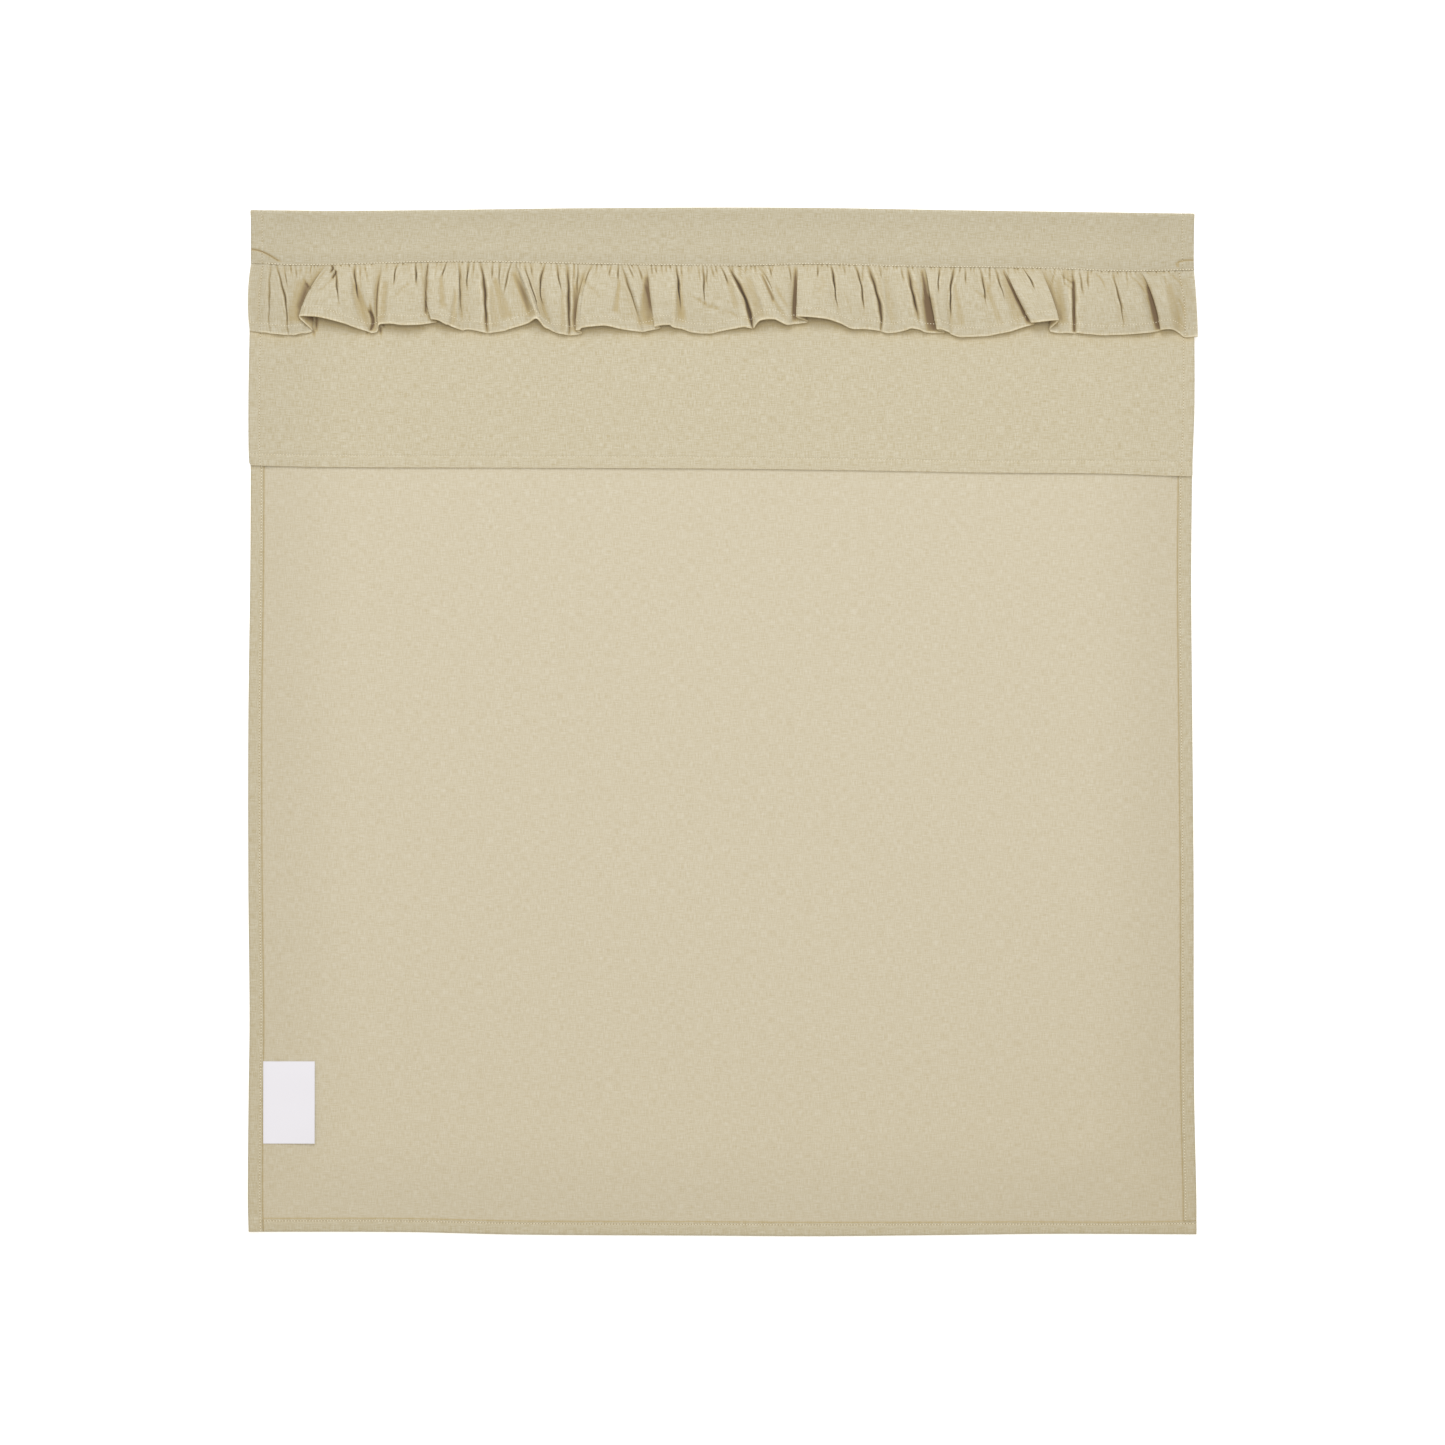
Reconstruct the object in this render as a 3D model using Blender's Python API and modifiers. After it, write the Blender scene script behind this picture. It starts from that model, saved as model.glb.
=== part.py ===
"""A cradle sheet with a gathered ruffle, laid flat with its top turned down.

The main panel lies wrong side up, turns over at the top fold and ends at the ruffle's seam.
The turn-back panel goes on from that seam and lies on the main panel, right side up.
The ruffle is gathered into the same seam and lies on the turn-back panel.

The model is in metres with +Z up, +Y towards the top fold and z = 0 under the cloth.
Lengths in the tables and sizes below are millimetres; MM turns them into metres.
"""
import math

import bmesh
import bpy

MM = 0.001

# Cloth and seams
PLY = 1.0
HEM_PLY = 1.8
LAY_GAP = 0.4
TOUCH_GAP = 0.3
HEM_WIDTH = 10.5
HEM_STEP = 0.6
HEM_EASE = 25.0
SEAM_ALLOWANCE = 7.5

# Top fold
FOLD_RADIUS = 2.2
FOLD_STEPS = 6

# Care label
LABEL_WIDTH = 40.5
LABEL_LENGTH = 64.5
LABEL_TOP = -266.3
LABEL_CURL = 1.2

# Grid steps across the sheet and along it
INNER_COLUMNS = 8
BODY_ROWS = 9
FLAP_ROWS = 5
RUFFLE_STEPS = 2
LABEL_STEPS = 6

# Colours, as a display shows them
WRONG_SIDE = (212, 201, 174)
RIGHT_SIDE = (206, 195, 167)
LABEL_WHITE = (238, 237, 240)

# Long edges and lines that run across the sheet: x, y
BOTTOM_EDGE = [
    (-372.0, -400.0),
    (-250.0, -400.2),
    (-160.0, -402.2),
    (0.0, -403.1),
    (70.0, -403.5),
    (180.0, -402.5),
    (260.0, -401.6),
    (372.0, -402.0),
]
TOP_FOLD = [
    (-370.0, 401.7),
    (-290.0, 401.1),
    (-90.0, 403.3),
    (60.0, 403.5),
    (200.0, 401.3),
    (370.0, 398.9),
]
SEAM_LINE = [
    (-370.0, 359.6),
    (-331.0, 357.8),
    (-208.0, 360.6),
    (-80.0, 358.4),
    (14.0, 357.5),
    (73.0, 358.7),
    (143.0, 356.9),
    (257.0, 355.4),
    (312.0, 353.1),
    (370.0, 354.0),
]
TURN_BACK_EDGE = [
    (-371.0, 201.2),
    (-311.0, 199.9),
    (-178.0, 199.4),
    (0.0, 198.6),
    (124.0, 197.0),
    (202.0, 195.6),
    (300.0, 194.8),
    (369.0, 192.7),
]

# Side edges: y, left x, right x
BODY_SIDES = [
    (-402.0, -371.9, 371.9),
    (-375.0, -372.5, 371.9),
    (-297.0, -371.9, 370.2),
    (-234.0, -371.1, 369.8),
    (-124.0, -372.1, 369.7),
    (-2.0, -372.1, 368.7),
    (115.0, -370.6, 367.8),
    (198.0, -370.2, 368.5),
    (300.0, -370.0, 369.2),
    (400.0, -370.1, 370.1),
]
BAND_SIDES = [
    (350.0, -369.2, 369.3),
    (393.0, -369.4, 369.4),
    (400.0, -370.1, 370.1),
]
TURN_BACK_SIDES = [
    (193.0, -370.6, 368.6),
    (204.0, -371.4, 368.6),
    (216.0, -371.7, 368.9),
    (253.0, -371.7, 370.1),
    (300.0, -370.9, 370.1),
    (367.0, -369.3, 369.3),
]

# The band between the top fold and the seam: share of the way down it, height of its upper
# face in the middle of the sheet, and height over the side hems
BAND_HEIGHTS = [
    (0.0, 4.4, 4.4),
    (0.25, 3.4, 4.6),
    (0.55, 3.6, 5.2),
    (0.79, 5.0, 7.4),
    (1.0, 5.0, 7.4),
]

# Every fold line of the ruffle, from left to right along the strip: its kind, its x at the
# seam, halfway down and at the hem, how far the hem hangs below the seam, and how high the
# cloth stands off the turn-back panel halfway down and at the hem. The strip runs backwards
# under itself between a bend and the edge after it, or between a ridge and the back after it.
RUFFLE_FOLDS = [
    ("end", -369.5, -372.0, -370.5, 53.0, 0.5, 0.5),
    ("hem", -360.0, -363.0, -362.5, 53.5, 0.0, 0.0),
    ("valley", -353.5, -355.5, -354.5, 54.0, 0.5, 0.0),
    ("crest", -351.0, -350.5, -348.0, 54.5, 2.5, 1.5),
    ("valley", -348.0, -343.0, -340.5, 55.0, 0.8, 0.3),
    ("crest", -338.0, -336.5, -334.5, 54.0, 2.2, 1.2),
    ("low", -328.5, -329.5, -328.0, 52.0, 0.8, 0.6),
    ("bend", -320.5, -323.0, -322.0, 50.0, 0.8, 0.8),
    ("edge", -317.0, -328.5, -331.5, 41.5, 5.4, 5.6),
    ("crest", -314.5, -319.0, -319.0, 40.5, 8.5, 8.5),
    ("valley", -304.0, -300.5, -296.5, 46.0, 6.5, 6.0),
    ("crest", -295.5, -293.0, -287.0, 49.5, 6.5, 4.0),
    ("valley", -286.0, -284.0, -278.5, 52.5, 1.5, 0.5),
    ("bend", -270.0, -271.0, -270.5, 54.0, 2.0, 1.2),
    ("edge", -266.5, -270.5, -269.5, 48.0, 4.6, 4.5),
    ("crest", -260.0, -262.5, -261.0, 47.5, 6.5, 6.5),
    ("valley", -254.0, -251.5, -251.0, 48.5, 5.5, 5.5),
    ("crest", -245.5, -243.5, -243.5, 49.0, 6.5, 6.0),
    ("bend", -232.0, -228.0, -223.5, 46.5, 2.0, 2.0),
    ("edge", -229.5, -233.0, -228.5, 45.0, 5.5, 5.5),
    ("crest", -224.0, -226.5, -221.0, 46.5, 8.0, 7.0),
    ("ridge", -208.5, -208.0, -213.0, 50.0, 7.0, 5.0),
    ("valley", -203.5, -202.5, -202.0, 54.0, 2.0, 1.2),
    ("crest", -195.0, -193.5, -192.5, 54.0, 3.5, 1.8),
    ("gap", -189.5, -186.0, -185.0, 55.5, 0.0, 0.0),
    ("crest", -185.0, -181.5, -180.0, 55.5, 3.5, 1.2),
    ("valley", -170.5, -172.5, -170.5, 53.5, 1.8, 1.5),
    ("valley", -164.5, -158.0, -152.5, 48.0, 2.5, 4.0),
    ("crest", -160.0, -152.0, -145.5, 44.5, 8.0, 9.0),
    ("valley", -154.5, -146.5, -138.0, 51.0, 3.2, 3.0),
    ("valley", -139.5, -142.0, -132.5, 53.5, 1.5, 1.0),
    ("crest", -133.0, -133.0, -127.0, 55.5, 4.5, 2.2),
    ("gap", -122.0, -120.5, -120.5, 56.0, 0.0, 0.0),
    ("bend", -114.5, -112.0, -110.5, 54.5, 1.8, 1.2),
    ("edge", -112.0, -114.5, -114.0, 52.0, 4.6, 4.0),
    ("crest", -104.0, -110.5, -108.0, 49.0, 7.5, 6.0),
    ("crest", -90.5, -93.0, -90.5, 47.5, 6.0, 5.5),
    ("valley", -79.5, -72.0, -65.0, 52.5, 1.6, 1.0),
    ("crest", -71.0, -65.0, -59.5, 52.0, 5.0, 2.5),
    ("bend", -61.0, -54.0, -49.0, 49.5, 1.2, 1.6),
    ("edge", -58.5, -56.5, -53.0, 48.5, 5.0, 4.4),
    ("crest", -52.0, -50.5, -46.0, 47.0, 7.0, 5.5),
    ("ridge", -40.5, -38.0, -39.0, 48.5, 6.5, 4.2),
    ("valley", -35.5, -32.5, -30.0, 50.5, 1.5, 1.5),
    ("crest", -28.0, -24.5, -23.0, 52.0, 3.2, 1.5),
    ("valley", -16.0, -14.0, -13.0, 53.0, 1.5, 0.5),
    ("crest", -11.5, -9.0, -6.0, 52.5, 3.2, 1.2),
    ("valley", -6.0, -2.5, 0.5, 51.0, 1.8, 1.8),
    ("crest", -0.5, 8.0, 11.5, 49.0, 4.5, 3.5),
    ("gap", 5.0, 17.5, 24.0, 49.0, 1.0, 1.2),
    ("crest", 20.0, 29.5, 29.5, 43.0, 7.5, 7.5),
    ("valley", 31.0, 39.5, 41.0, 42.5, 5.0, 5.8),
    ("crest", 42.0, 47.5, 50.0, 46.5, 5.5, 5.0),
    ("low", 52.0, 56.0, 59.5, 45.5, 2.0, 2.0),
    ("bend", 57.0, 61.5, 66.5, 44.0, 1.4, 1.4),
    ("edge", 60.0, 58.5, 58.0, 41.8, 5.4, 5.4),
    ("crest", 67.0, 67.0, 68.0, 42.0, 8.5, 8.2),
    ("valley", 86.0, 88.5, 93.0, 46.5, 4.0, 3.4),
    ("crest", 93.0, 96.0, 101.0, 50.0, 5.0, 3.2),
    ("valley", 103.0, 108.5, 111.0, 50.0, 1.6, 1.2),
    ("crest", 108.5, 115.0, 118.0, 50.5, 3.8, 2.2),
    ("gap", 113.5, 122.0, 124.0, 51.5, 0.0, 0.0),
    ("crest", 119.0, 127.0, 130.0, 52.5, 3.2, 1.2),
    ("crest", 134.0, 138.0, 144.0, 50.0, 4.2, 3.0),
    ("valley", 144.0, 149.5, 153.5, 49.5, 1.0, 1.5),
    ("crest", 149.5, 154.5, 159.0, 51.0, 4.0, 2.0),
    ("bend", 157.0, 168.5, 174.5, 51.5, 0.9, 0.9),
    ("edge", 159.5, 163.0, 168.0, 49.0, 5.8, 4.5),
    ("crest", 166.0, 168.0, 173.5, 49.5, 7.2, 4.8),
    ("gap", 181.0, 178.0, 179.0, 52.0, 1.4, 0.8),
    ("crest", 186.5, 185.0, 185.5, 54.5, 3.8, 1.8),
    ("valley", 201.5, 206.0, 207.5, 53.5, 1.6, 0.8),
    ("crest", 207.5, 214.0, 215.5, 52.0, 3.5, 2.0),
    ("bend", 217.5, 234.5, 244.5, 44.0, 1.8, 3.0),
    ("edge", 220.5, 230.5, 242.0, 43.5, 5.4, 6.4),
    ("crest", 228.0, 237.5, 249.0, 42.5, 8.6, 8.6),
    ("valley", 236.0, 247.5, 255.5, 42.0, 6.5, 7.2),
    ("ridge", 245.5, 258.5, 263.5, 41.5, 6.0, 6.0),
    ("back", 248.5, 254.0, 256.5, 48.5, 2.0, 1.8),
    ("low", 257.0, 263.5, 265.0, 50.5, 1.2, 0.5),
    ("lip", 270.5, 272.5, 273.0, 50.0, 2.4, 1.2),
    ("gap", 274.5, 275.5, 276.0, 50.0, 0.0, 0.0),
    ("lip", 278.5, 278.5, 279.0, 50.0, 3.0, 1.2),
    ("crest", 283.0, 285.5, 287.0, 50.0, 3.6, 1.5),
    ("valley", 289.5, 295.0, 295.5, 51.0, 1.5, 0.6),
    ("crest", 298.0, 303.5, 305.0, 50.0, 3.6, 1.5),
    ("valley", 306.0, 312.0, 316.0, 49.5, 1.3, 0.6),
    ("crest", 316.0, 323.0, 327.0, 48.5, 4.6, 2.2),
    ("bend", 327.0, 342.0, 346.0, 45.5, 0.8, 1.0),
    ("edge", 329.5, 340.0, 343.5, 46.0, 4.6, 3.8),
    ("crest", 342.0, 349.0, 352.0, 46.0, 7.0, 4.2),
    ("valley", 353.0, 357.5, 357.5, 48.5, 1.6, 1.0),
    ("hem", 358.5, 362.0, 362.5, 52.0, 0.3, 0.3),
    ("end", 369.3, 371.5, 372.5, 51.5, 0.5, 0.5),
]

# Rows of the ruffle: share of the way from the seam to its hem
RUFFLE_ROWS = [0.0, 0.12, 0.3, 0.52, 0.76, 1.0]


def remove_everything():
    for thing in list(bpy.data.objects):
        bpy.data.objects.remove(thing, do_unlink=True)


def part_collection(name):
    collection = bpy.data.collections.new(name)
    bpy.context.scene.collection.children.link(collection)
    return collection


def linear(channel):
    """Turn a display value of 0 to 255 into the linear value that a shader takes."""
    share = channel / 255.0
    if share <= 0.04045:
        return share / 12.92
    return ((share + 0.055) / 1.055) ** 2.4


def cloth_material(name, colour, roughness):
    material = bpy.data.materials.new(name)
    material.use_nodes = True
    shader = material.node_tree.nodes["Principled BSDF"]
    shader.inputs["Base Color"].default_value = (*[linear(c) for c in colour], 1.0)
    shader.inputs["Roughness"].default_value = roughness
    shader.inputs["Metallic"].default_value = 0.0
    return material


def mix(start, end, share):
    return start + (end - start) * share


def ease(share):
    share = min(max(share, 0.0), 1.0)
    return share * share * (3.0 - 2.0 * share)


def slope(knots, values, k):
    """Slope of a smooth curve at knot k, from the points on both sides of it."""
    low = max(k - 1, 0)
    high = min(k + 1, len(knots) - 1)
    return (values[high] - values[low]) / (knots[high] - knots[low])


def smooth(knots, values, at):
    """Value at one place on a smooth curve through all the points."""
    at = min(max(at, knots[0]), knots[-1])
    k = 0
    while k < len(knots) - 2 and at > knots[k + 1]:
        k += 1
    span = knots[k + 1] - knots[k]
    t = (at - knots[k]) / span
    start = slope(knots, values, k) * span
    end = slope(knots, values, k + 1) * span
    return ((2 * t - 3) * t * t + 1) * values[k] + (3 - 2 * t) * t * t * values[k + 1] \
        + ((t - 2) * t + 1) * t * start + (t - 1) * t * t * end


def read(table, at, column=1):
    """Read a table whose first column grows, at a place between its rows."""
    return smooth([row[0] for row in table], [row[column] for row in table], at)


def edge_distances(width):
    """Places across a strip: both hems, where the cloth eases down beside them, and between."""
    hem_end = HEM_WIDTH - HEM_STEP
    near = [0.0, hem_end, HEM_WIDTH, HEM_EASE]
    inner = [mix(HEM_EASE, width - HEM_EASE, k / INNER_COLUMNS) for k in range(1, INNER_COLUMNS)]
    return near + inner + [width - distance for distance in reversed(near)]


def beside_hem(distance, width):
    """1 over a side hem, easing to 0 where the cloth lies flat beside it."""
    from_edge = min(distance, width - distance)
    return 1.0 - ease((from_edge - HEM_WIDTH) / (HEM_EASE - HEM_WIDTH))


def in_hem(distance, width):
    return min(distance, width - distance) <= HEM_WIDTH - HEM_STEP + 0.01


def sheet_object(name, points, plies, material, collection):
    """Make a grid of the cloth's upper or outer face and thicken it on the other side."""
    rows = len(points)
    columns = len(points[0])
    bm = bmesh.new()
    bmesh.ops.create_grid(bm, x_segments=columns - 1, y_segments=rows - 1, size=1.0)
    bm.verts.ensure_lookup_table()
    for row in range(rows):
        for column in range(columns):
            x, y, z = points[row][column]
            bm.verts[row * columns + column].co = (x * MM, y * MM, z * MM)
    mesh = bpy.data.meshes.new(name)
    bm.to_mesh(mesh)
    bm.free()
    mesh.shade_smooth()
    cloth = bpy.data.objects.new(name, mesh)
    collection.objects.link(cloth)
    mesh.materials.append(material)
    group = cloth.vertex_groups.new(name="plies")
    for row in range(rows):
        for column in range(columns):
            group.add([row * columns + column], plies[row][column] / HEM_PLY, "REPLACE")
    return cloth


def thicken(cloth, offset):
    """Give the cloth its thickness; the group holds how much of a hem's each point has."""
    solid = cloth.modifiers.new("cloth thickness", "SOLIDIFY")
    solid.thickness = HEM_PLY * MM
    solid.offset = offset
    solid.vertex_group = "plies"
    solid.use_quality_normals = True
    solid.use_even_offset = False


def main_panel_rows():
    """Rows of the main panel from its bottom edge, round the top fold, to the seam."""
    rows = [("body", 0.0, True), ("body", HEM_WIDTH - HEM_STEP, True)]
    rows += [("body", HEM_WIDTH, False)]
    rows += [("share", k / BODY_ROWS, False) for k in range(1, BODY_ROWS + 1)]
    rows += [("fold", k / FOLD_STEPS, False) for k in range(1, FOLD_STEPS)]
    rows += [("band", row[0], False) for row in BAND_HEIGHTS]
    return rows


def main_panel_point(kind, value, distance_share):
    """One point of the panel's right side, which faces the floor below and up on the band."""
    sides = BAND_SIDES if kind == "band" else BODY_SIDES
    nominal = {"body": -402.0 + value,
               "share": mix(-402.0 + HEM_WIDTH, 400.0, value),
               "fold": 400.0,
               "band": mix(400.0, 350.0, value)}[kind]
    left = read(sides, nominal, 1)
    right = read(sides, nominal, 2)
    width = right - left
    distance = distance_share(width)
    x = left + distance
    fold_centre = read(TOP_FOLD, x) - FOLD_RADIUS
    z = 0.0
    if kind == "body":
        y = read(BOTTOM_EDGE, x) + value
    elif kind == "share":
        y = mix(read(BOTTOM_EDGE, x) + HEM_WIDTH, fold_centre, value)
    elif kind == "fold":
        turn = math.pi * value
        y = fold_centre + FOLD_RADIUS * math.sin(turn)
        z = FOLD_RADIUS * (1.0 - math.cos(turn))
    else:
        y = mix(fold_centre, read(SEAM_LINE, x) + TOUCH_GAP, value)
        middle = read(BAND_HEIGHTS, value, 1)
        over_hem = read(BAND_HEIGHTS, value, 2)
        z = mix(middle, over_hem, beside_hem(distance, width))
    return (x, y, z), in_hem(distance, width)


def main_panel(collection):
    """Body, top fold and band in one cloth, with its side hems and bottom hem."""
    columns = len(edge_distances(700.0))
    points = []
    plies = []
    for kind, value, hem_row in main_panel_rows():
        line = []
        line_plies = []
        for column in range(columns):
            point, hem = main_panel_point(kind, value, lambda w: edge_distances(w)[column])
            line.append(point)
            line_plies.append(HEM_PLY if hem or hem_row else PLY)
        points.append(line)
        plies.append(line_plies)
    material = cloth_material("cotton wrong side", WRONG_SIDE, 0.9)
    panel = sheet_object("main_panel", points, plies, material, collection)
    thicken(panel, 1.0)
    return panel


def turn_back_top(distance, width, from_edge):
    """Height of the turn-back panel's upper face, where its hems lie on the main panel's."""
    beside = beside_hem(distance, width)
    over_side_hem = 2 * HEM_PLY + LAY_GAP
    flat = 2 * PLY + LAY_GAP
    over_bottom_hem = PLY + LAY_GAP + HEM_PLY
    near_bottom = 1.0 - ease((from_edge - HEM_WIDTH) / (HEM_EASE - HEM_WIDTH))
    return max(mix(flat, over_side_hem, beside), mix(flat, over_bottom_hem, near_bottom))


def turn_back_panel(collection):
    """The strip below the seam that lies on the main panel, hemmed at its sides and bottom."""
    from_edges = [("edge", 0.0), ("edge", HEM_WIDTH - HEM_STEP), ("edge", HEM_WIDTH), ("edge", HEM_EASE)]
    shares = [("share", k / FLAP_ROWS) for k in range(1, FLAP_ROWS + 1)]
    points = []
    plies = []
    for kind, value in from_edges + shares + [("seam", SEAM_ALLOWANCE)]:
        nominal = {"edge": 197.0 + value,
                   "share": mix(197.0 + HEM_EASE, 357.0, value),
                   "seam": 357.0 + value}[kind]
        left = read(TURN_BACK_SIDES, nominal, 1)
        width = read(TURN_BACK_SIDES, nominal, 2) - left
        line = []
        line_plies = []
        for distance in edge_distances(width):
            x = left + distance
            edge = read(TURN_BACK_EDGE, x)
            seam = read(SEAM_LINE, x)
            y = {"edge": edge + value,
                 "share": mix(edge + HEM_EASE, seam, value),
                 "seam": seam + value}[kind]
            line.append((x, y, turn_back_top(distance, width, y - edge)))
            hem = in_hem(distance, width) or (kind == "edge" and value < HEM_WIDTH)
            line_plies.append(HEM_PLY if hem else PLY)
        points.append(line)
        plies.append(line_plies)
    material = cloth_material("cotton right side", RIGHT_SIDE, 0.9)
    panel = sheet_object("turn_back_panel", points, plies, material, collection)
    thicken(panel, -1.0)
    return panel


def halfway_curve(start, middle, end, share):
    """Curve through its values at the seam, halfway down and at the hem."""
    return start * (1 - share) * (1 - 2 * share) + middle * 4 * share * (1 - share) \
        + end * share * (2 * share - 1)


def ruffle_knots():
    """Place of each fold line along the strip, from the run of cloth between them at the hem."""
    knots = [0.0]
    for before, after in zip(RUFFLE_FOLDS, RUFFLE_FOLDS[1:]):
        run = math.hypot(after[3] - before[3], after[4] - before[4], after[6] - before[6])
        knots.append(knots[-1] + math.sqrt(run))
    return knots


def ruffle_line(knots, at, share):
    """One point of the ruffle: a place along the strip and a share of the way to its hem."""
    seam_x, half_x, hem_x, drop, half_lift, hem_lift = [
        smooth(knots, [fold[column] for fold in RUFFLE_FOLDS], at) for column in range(1, 7)]
    seam_y = read(SEAM_LINE, seam_x)
    x = halfway_curve(seam_x, half_x, hem_x, share)
    lift = halfway_curve(0.0, half_lift, hem_lift, share)
    from_side = min(x - RUFFLE_FOLDS[0][1], RUFFLE_FOLDS[-1][1] - x)
    beside = 1.0 - ease((from_side - HEM_WIDTH) / (HEM_EASE - HEM_WIDTH))
    rest = mix(2 * PLY + LAY_GAP, 2 * HEM_PLY + LAY_GAP, beside) + TOUCH_GAP + PLY / 2
    return x, seam_y - drop * share, rest + max(lift, 0.0)


def ruffle(collection):
    """The gathered strip, lofted through its fold lines, from under the band to its hem."""
    knots = ruffle_knots()
    places = []
    for start, end in zip(knots, knots[1:]):
        places += [mix(start, end, k / RUFFLE_STEPS) for k in range(RUFFLE_STEPS)]
    places.append(knots[-1])
    hidden = []
    for at in places:
        x, y, z = ruffle_line(knots, at, 0.0)
        hidden.append((x, y + SEAM_ALLOWANCE - 1.0, z))
    points = [[ruffle_line(knots, at, share) for at in places] for share in reversed(RUFFLE_ROWS)]
    points.append(hidden)
    plies = [[PLY] * len(places) for _ in points]
    material = cloth_material("cotton ruffle", RIGHT_SIDE, 0.9)
    strip = sheet_object("ruffle", points, plies, material, collection)
    thicken(strip, 0.0)
    return strip


def care_label(collection):
    """The white tape whose left edge meets the side hem, with its free corner curled up a little."""
    left = read(BODY_SIDES, LABEL_TOP - LABEL_LENGTH / 2, 1) + HEM_WIDTH + TOUCH_GAP
    points = []
    for row in range(LABEL_STEPS + 1):
        down = 1.0 - row / LABEL_STEPS
        line = []
        for column in range(LABEL_STEPS + 1):
            across = column / LABEL_STEPS
            lift = LABEL_CURL * across ** 3 * (0.4 + 0.6 * down)
            x = left + LABEL_WIDTH * across
            y = LABEL_TOP - LABEL_LENGTH * down
            line.append((x, y, PLY + TOUCH_GAP + PLY + lift))
        points.append(line)
    plies = [[PLY] * (LABEL_STEPS + 1) for _ in points]
    material = cloth_material("satin tape", LABEL_WHITE, 0.55)
    label = sheet_object("care_label", points, plies, material, collection)
    thicken(label, -1.0)
    return label


def build():
    remove_everything()
    collection = part_collection("cradle sheet with ruffle")
    main_panel(collection)
    turn_back_panel(collection)
    ruffle(collection)
    care_label(collection)
    bpy.context.view_layer.update()


build()
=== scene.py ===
"""The looks of a cradle sheet with a gathered ruffle, laid flat with its top turned down.

Each cloth of the frame gets a finer one in its place, with its hems, gathers, creases and rows
of stitches. Tables and sizes are millimetres, which MM turns into the frame's metres. +Y is
towards the top fold and +Z is up.
"""

import math
import random

import bpy
import numpy as np
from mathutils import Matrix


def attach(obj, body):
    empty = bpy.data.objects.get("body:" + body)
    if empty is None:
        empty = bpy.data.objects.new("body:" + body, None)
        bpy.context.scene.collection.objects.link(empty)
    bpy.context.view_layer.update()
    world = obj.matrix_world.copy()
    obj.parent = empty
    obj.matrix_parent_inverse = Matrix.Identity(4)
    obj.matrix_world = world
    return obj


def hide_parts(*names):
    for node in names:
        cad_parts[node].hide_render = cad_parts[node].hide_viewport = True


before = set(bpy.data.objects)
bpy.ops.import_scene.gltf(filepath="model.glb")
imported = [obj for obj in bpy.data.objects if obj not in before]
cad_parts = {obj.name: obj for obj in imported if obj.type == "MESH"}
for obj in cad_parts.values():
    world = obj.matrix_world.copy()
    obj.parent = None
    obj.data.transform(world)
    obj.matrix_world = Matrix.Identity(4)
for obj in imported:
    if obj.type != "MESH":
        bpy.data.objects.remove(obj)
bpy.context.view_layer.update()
MM = 0.001

# Plain sizes of the sheet: its width, the x of a side from the middle, and the y of its bottom
# edge, the turn-back panel's edge, the seam and the top fold
NOMINAL_WIDTH = 740.0
HALF_WIDTH = 372.0
BOTTOM = -402.0
TURN_BACK_BOTTOM = 197.0
SEAM = 357.0
TOP = 400.0

# Heights of the layers over the floor, and thickness of the cloth
FLOOR_GAP = 0.05
BODY_TOP = 1.0
HEM_RISE = 0.8
TURN_BACK_TOP = 2.4
TURN_BACK_TOP_AT_SIDES = 3.6
TURN_BACK_TOP_AT_HEM = 2.75
RUFFLE_REST = 3.1
RUFFLE_REST_AT_SIDES = 4.3
RUFFLE_REST_PRESSED = TURN_BACK_TOP_AT_SIDES + 0.45
PANEL_PLY = 0.9
PANEL_HEM_PLY = 1.4
RUFFLE_PLY = 0.5
RUFFLE_HEM_PLY = 0.95
FOLD_RADIUS = 2.2
SEAM_ALLOWANCE = 6.5

# Hems, as distances from the edge: plain width, end of the face, end of the step down, and end
# of the strip beside it, then the width of that strip, the reach of the rounded edge, and how
# far the underside of the ruffle's edge stands out
HEM_WIDTH = 10.25
HEM_FACE = 10.4
HEM_END = 10.5
HEM_EASE = 25.0
HEM_SLOPE = HEM_EASE - HEM_WIDTH
ROUND_EDGE = 0.9
HEM_ROUND = 0.4

# Radii of the lower corners of the turn-back panel
LEFT_CORNER = 2.6
RIGHT_CORNER = 1.0

# Y from which the body lies under the turn-back panel, and share by which it is flatter there
COVERED_FROM = 185.0
COVERED_FLATTER = 0.7

# Share of its plain colour that the cloth has on the band and on the ruffle
BAND_TONE = 0.9
RUFFLE_TONE = 0.945
# Painted shade: shares by which it is darker in strips beside the hems, on their outer edge and
# towards the lower right corner
SIDE_TONE = 0.055
TONE_STRIP = 80.0
EDGE_TONE = 0.08
EDGE_REACH = 1.6
CORNER_TONE = 0.025
# Share by which it is lighter on the hems; painted highlights on rolled edges, on the crests of the
# ruffle, on the lips of its creases and on its outermost folds; and painted light that lifts the
# painted shade under the ruffle's edge
HEM_TONE = 0.015
RIM_HIGHLIGHT = 0.28
CREST_HIGHLIGHT = 0.10
RIDGE_HIGHLIGHT = 0.35
FOLD_EDGE_HIGHLIGHT = 0.22
OVERHANG_PAINTED_LIGHT = 0.52
# Painted warm shade, 0 to 1: towards the lower right corner, along the bottom and beside the side
# hems of the body, under the ruffle's edge, where the strip runs back under itself, and on the
# underside of the ruffle's rolled edge
CORNER_SHADE = 0.05
LOWER_SHADE = 0.03
SIDE_SHADE = 0.025
OVERHANG_SHADE = 0.62
UNDER_FOLD = 0.5
RIM_SHELTER = 0.7

# Angle in degrees over which two faces meet in a sharp edge
SHARP_ANGLE = 58.0

# Pitches of the grids of points, and steps round the fold and down the band
BODY_PITCH = 4.0
BODY_ROW_PITCH = 6.0
TURN_BACK_PITCH = 2.1
RUFFLE_PITCH = 1.15
FOLD_STEPS = 10
BAND_STEPS = 25
BAND_ROWS = 16
CURVE_PIECES = 12
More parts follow.
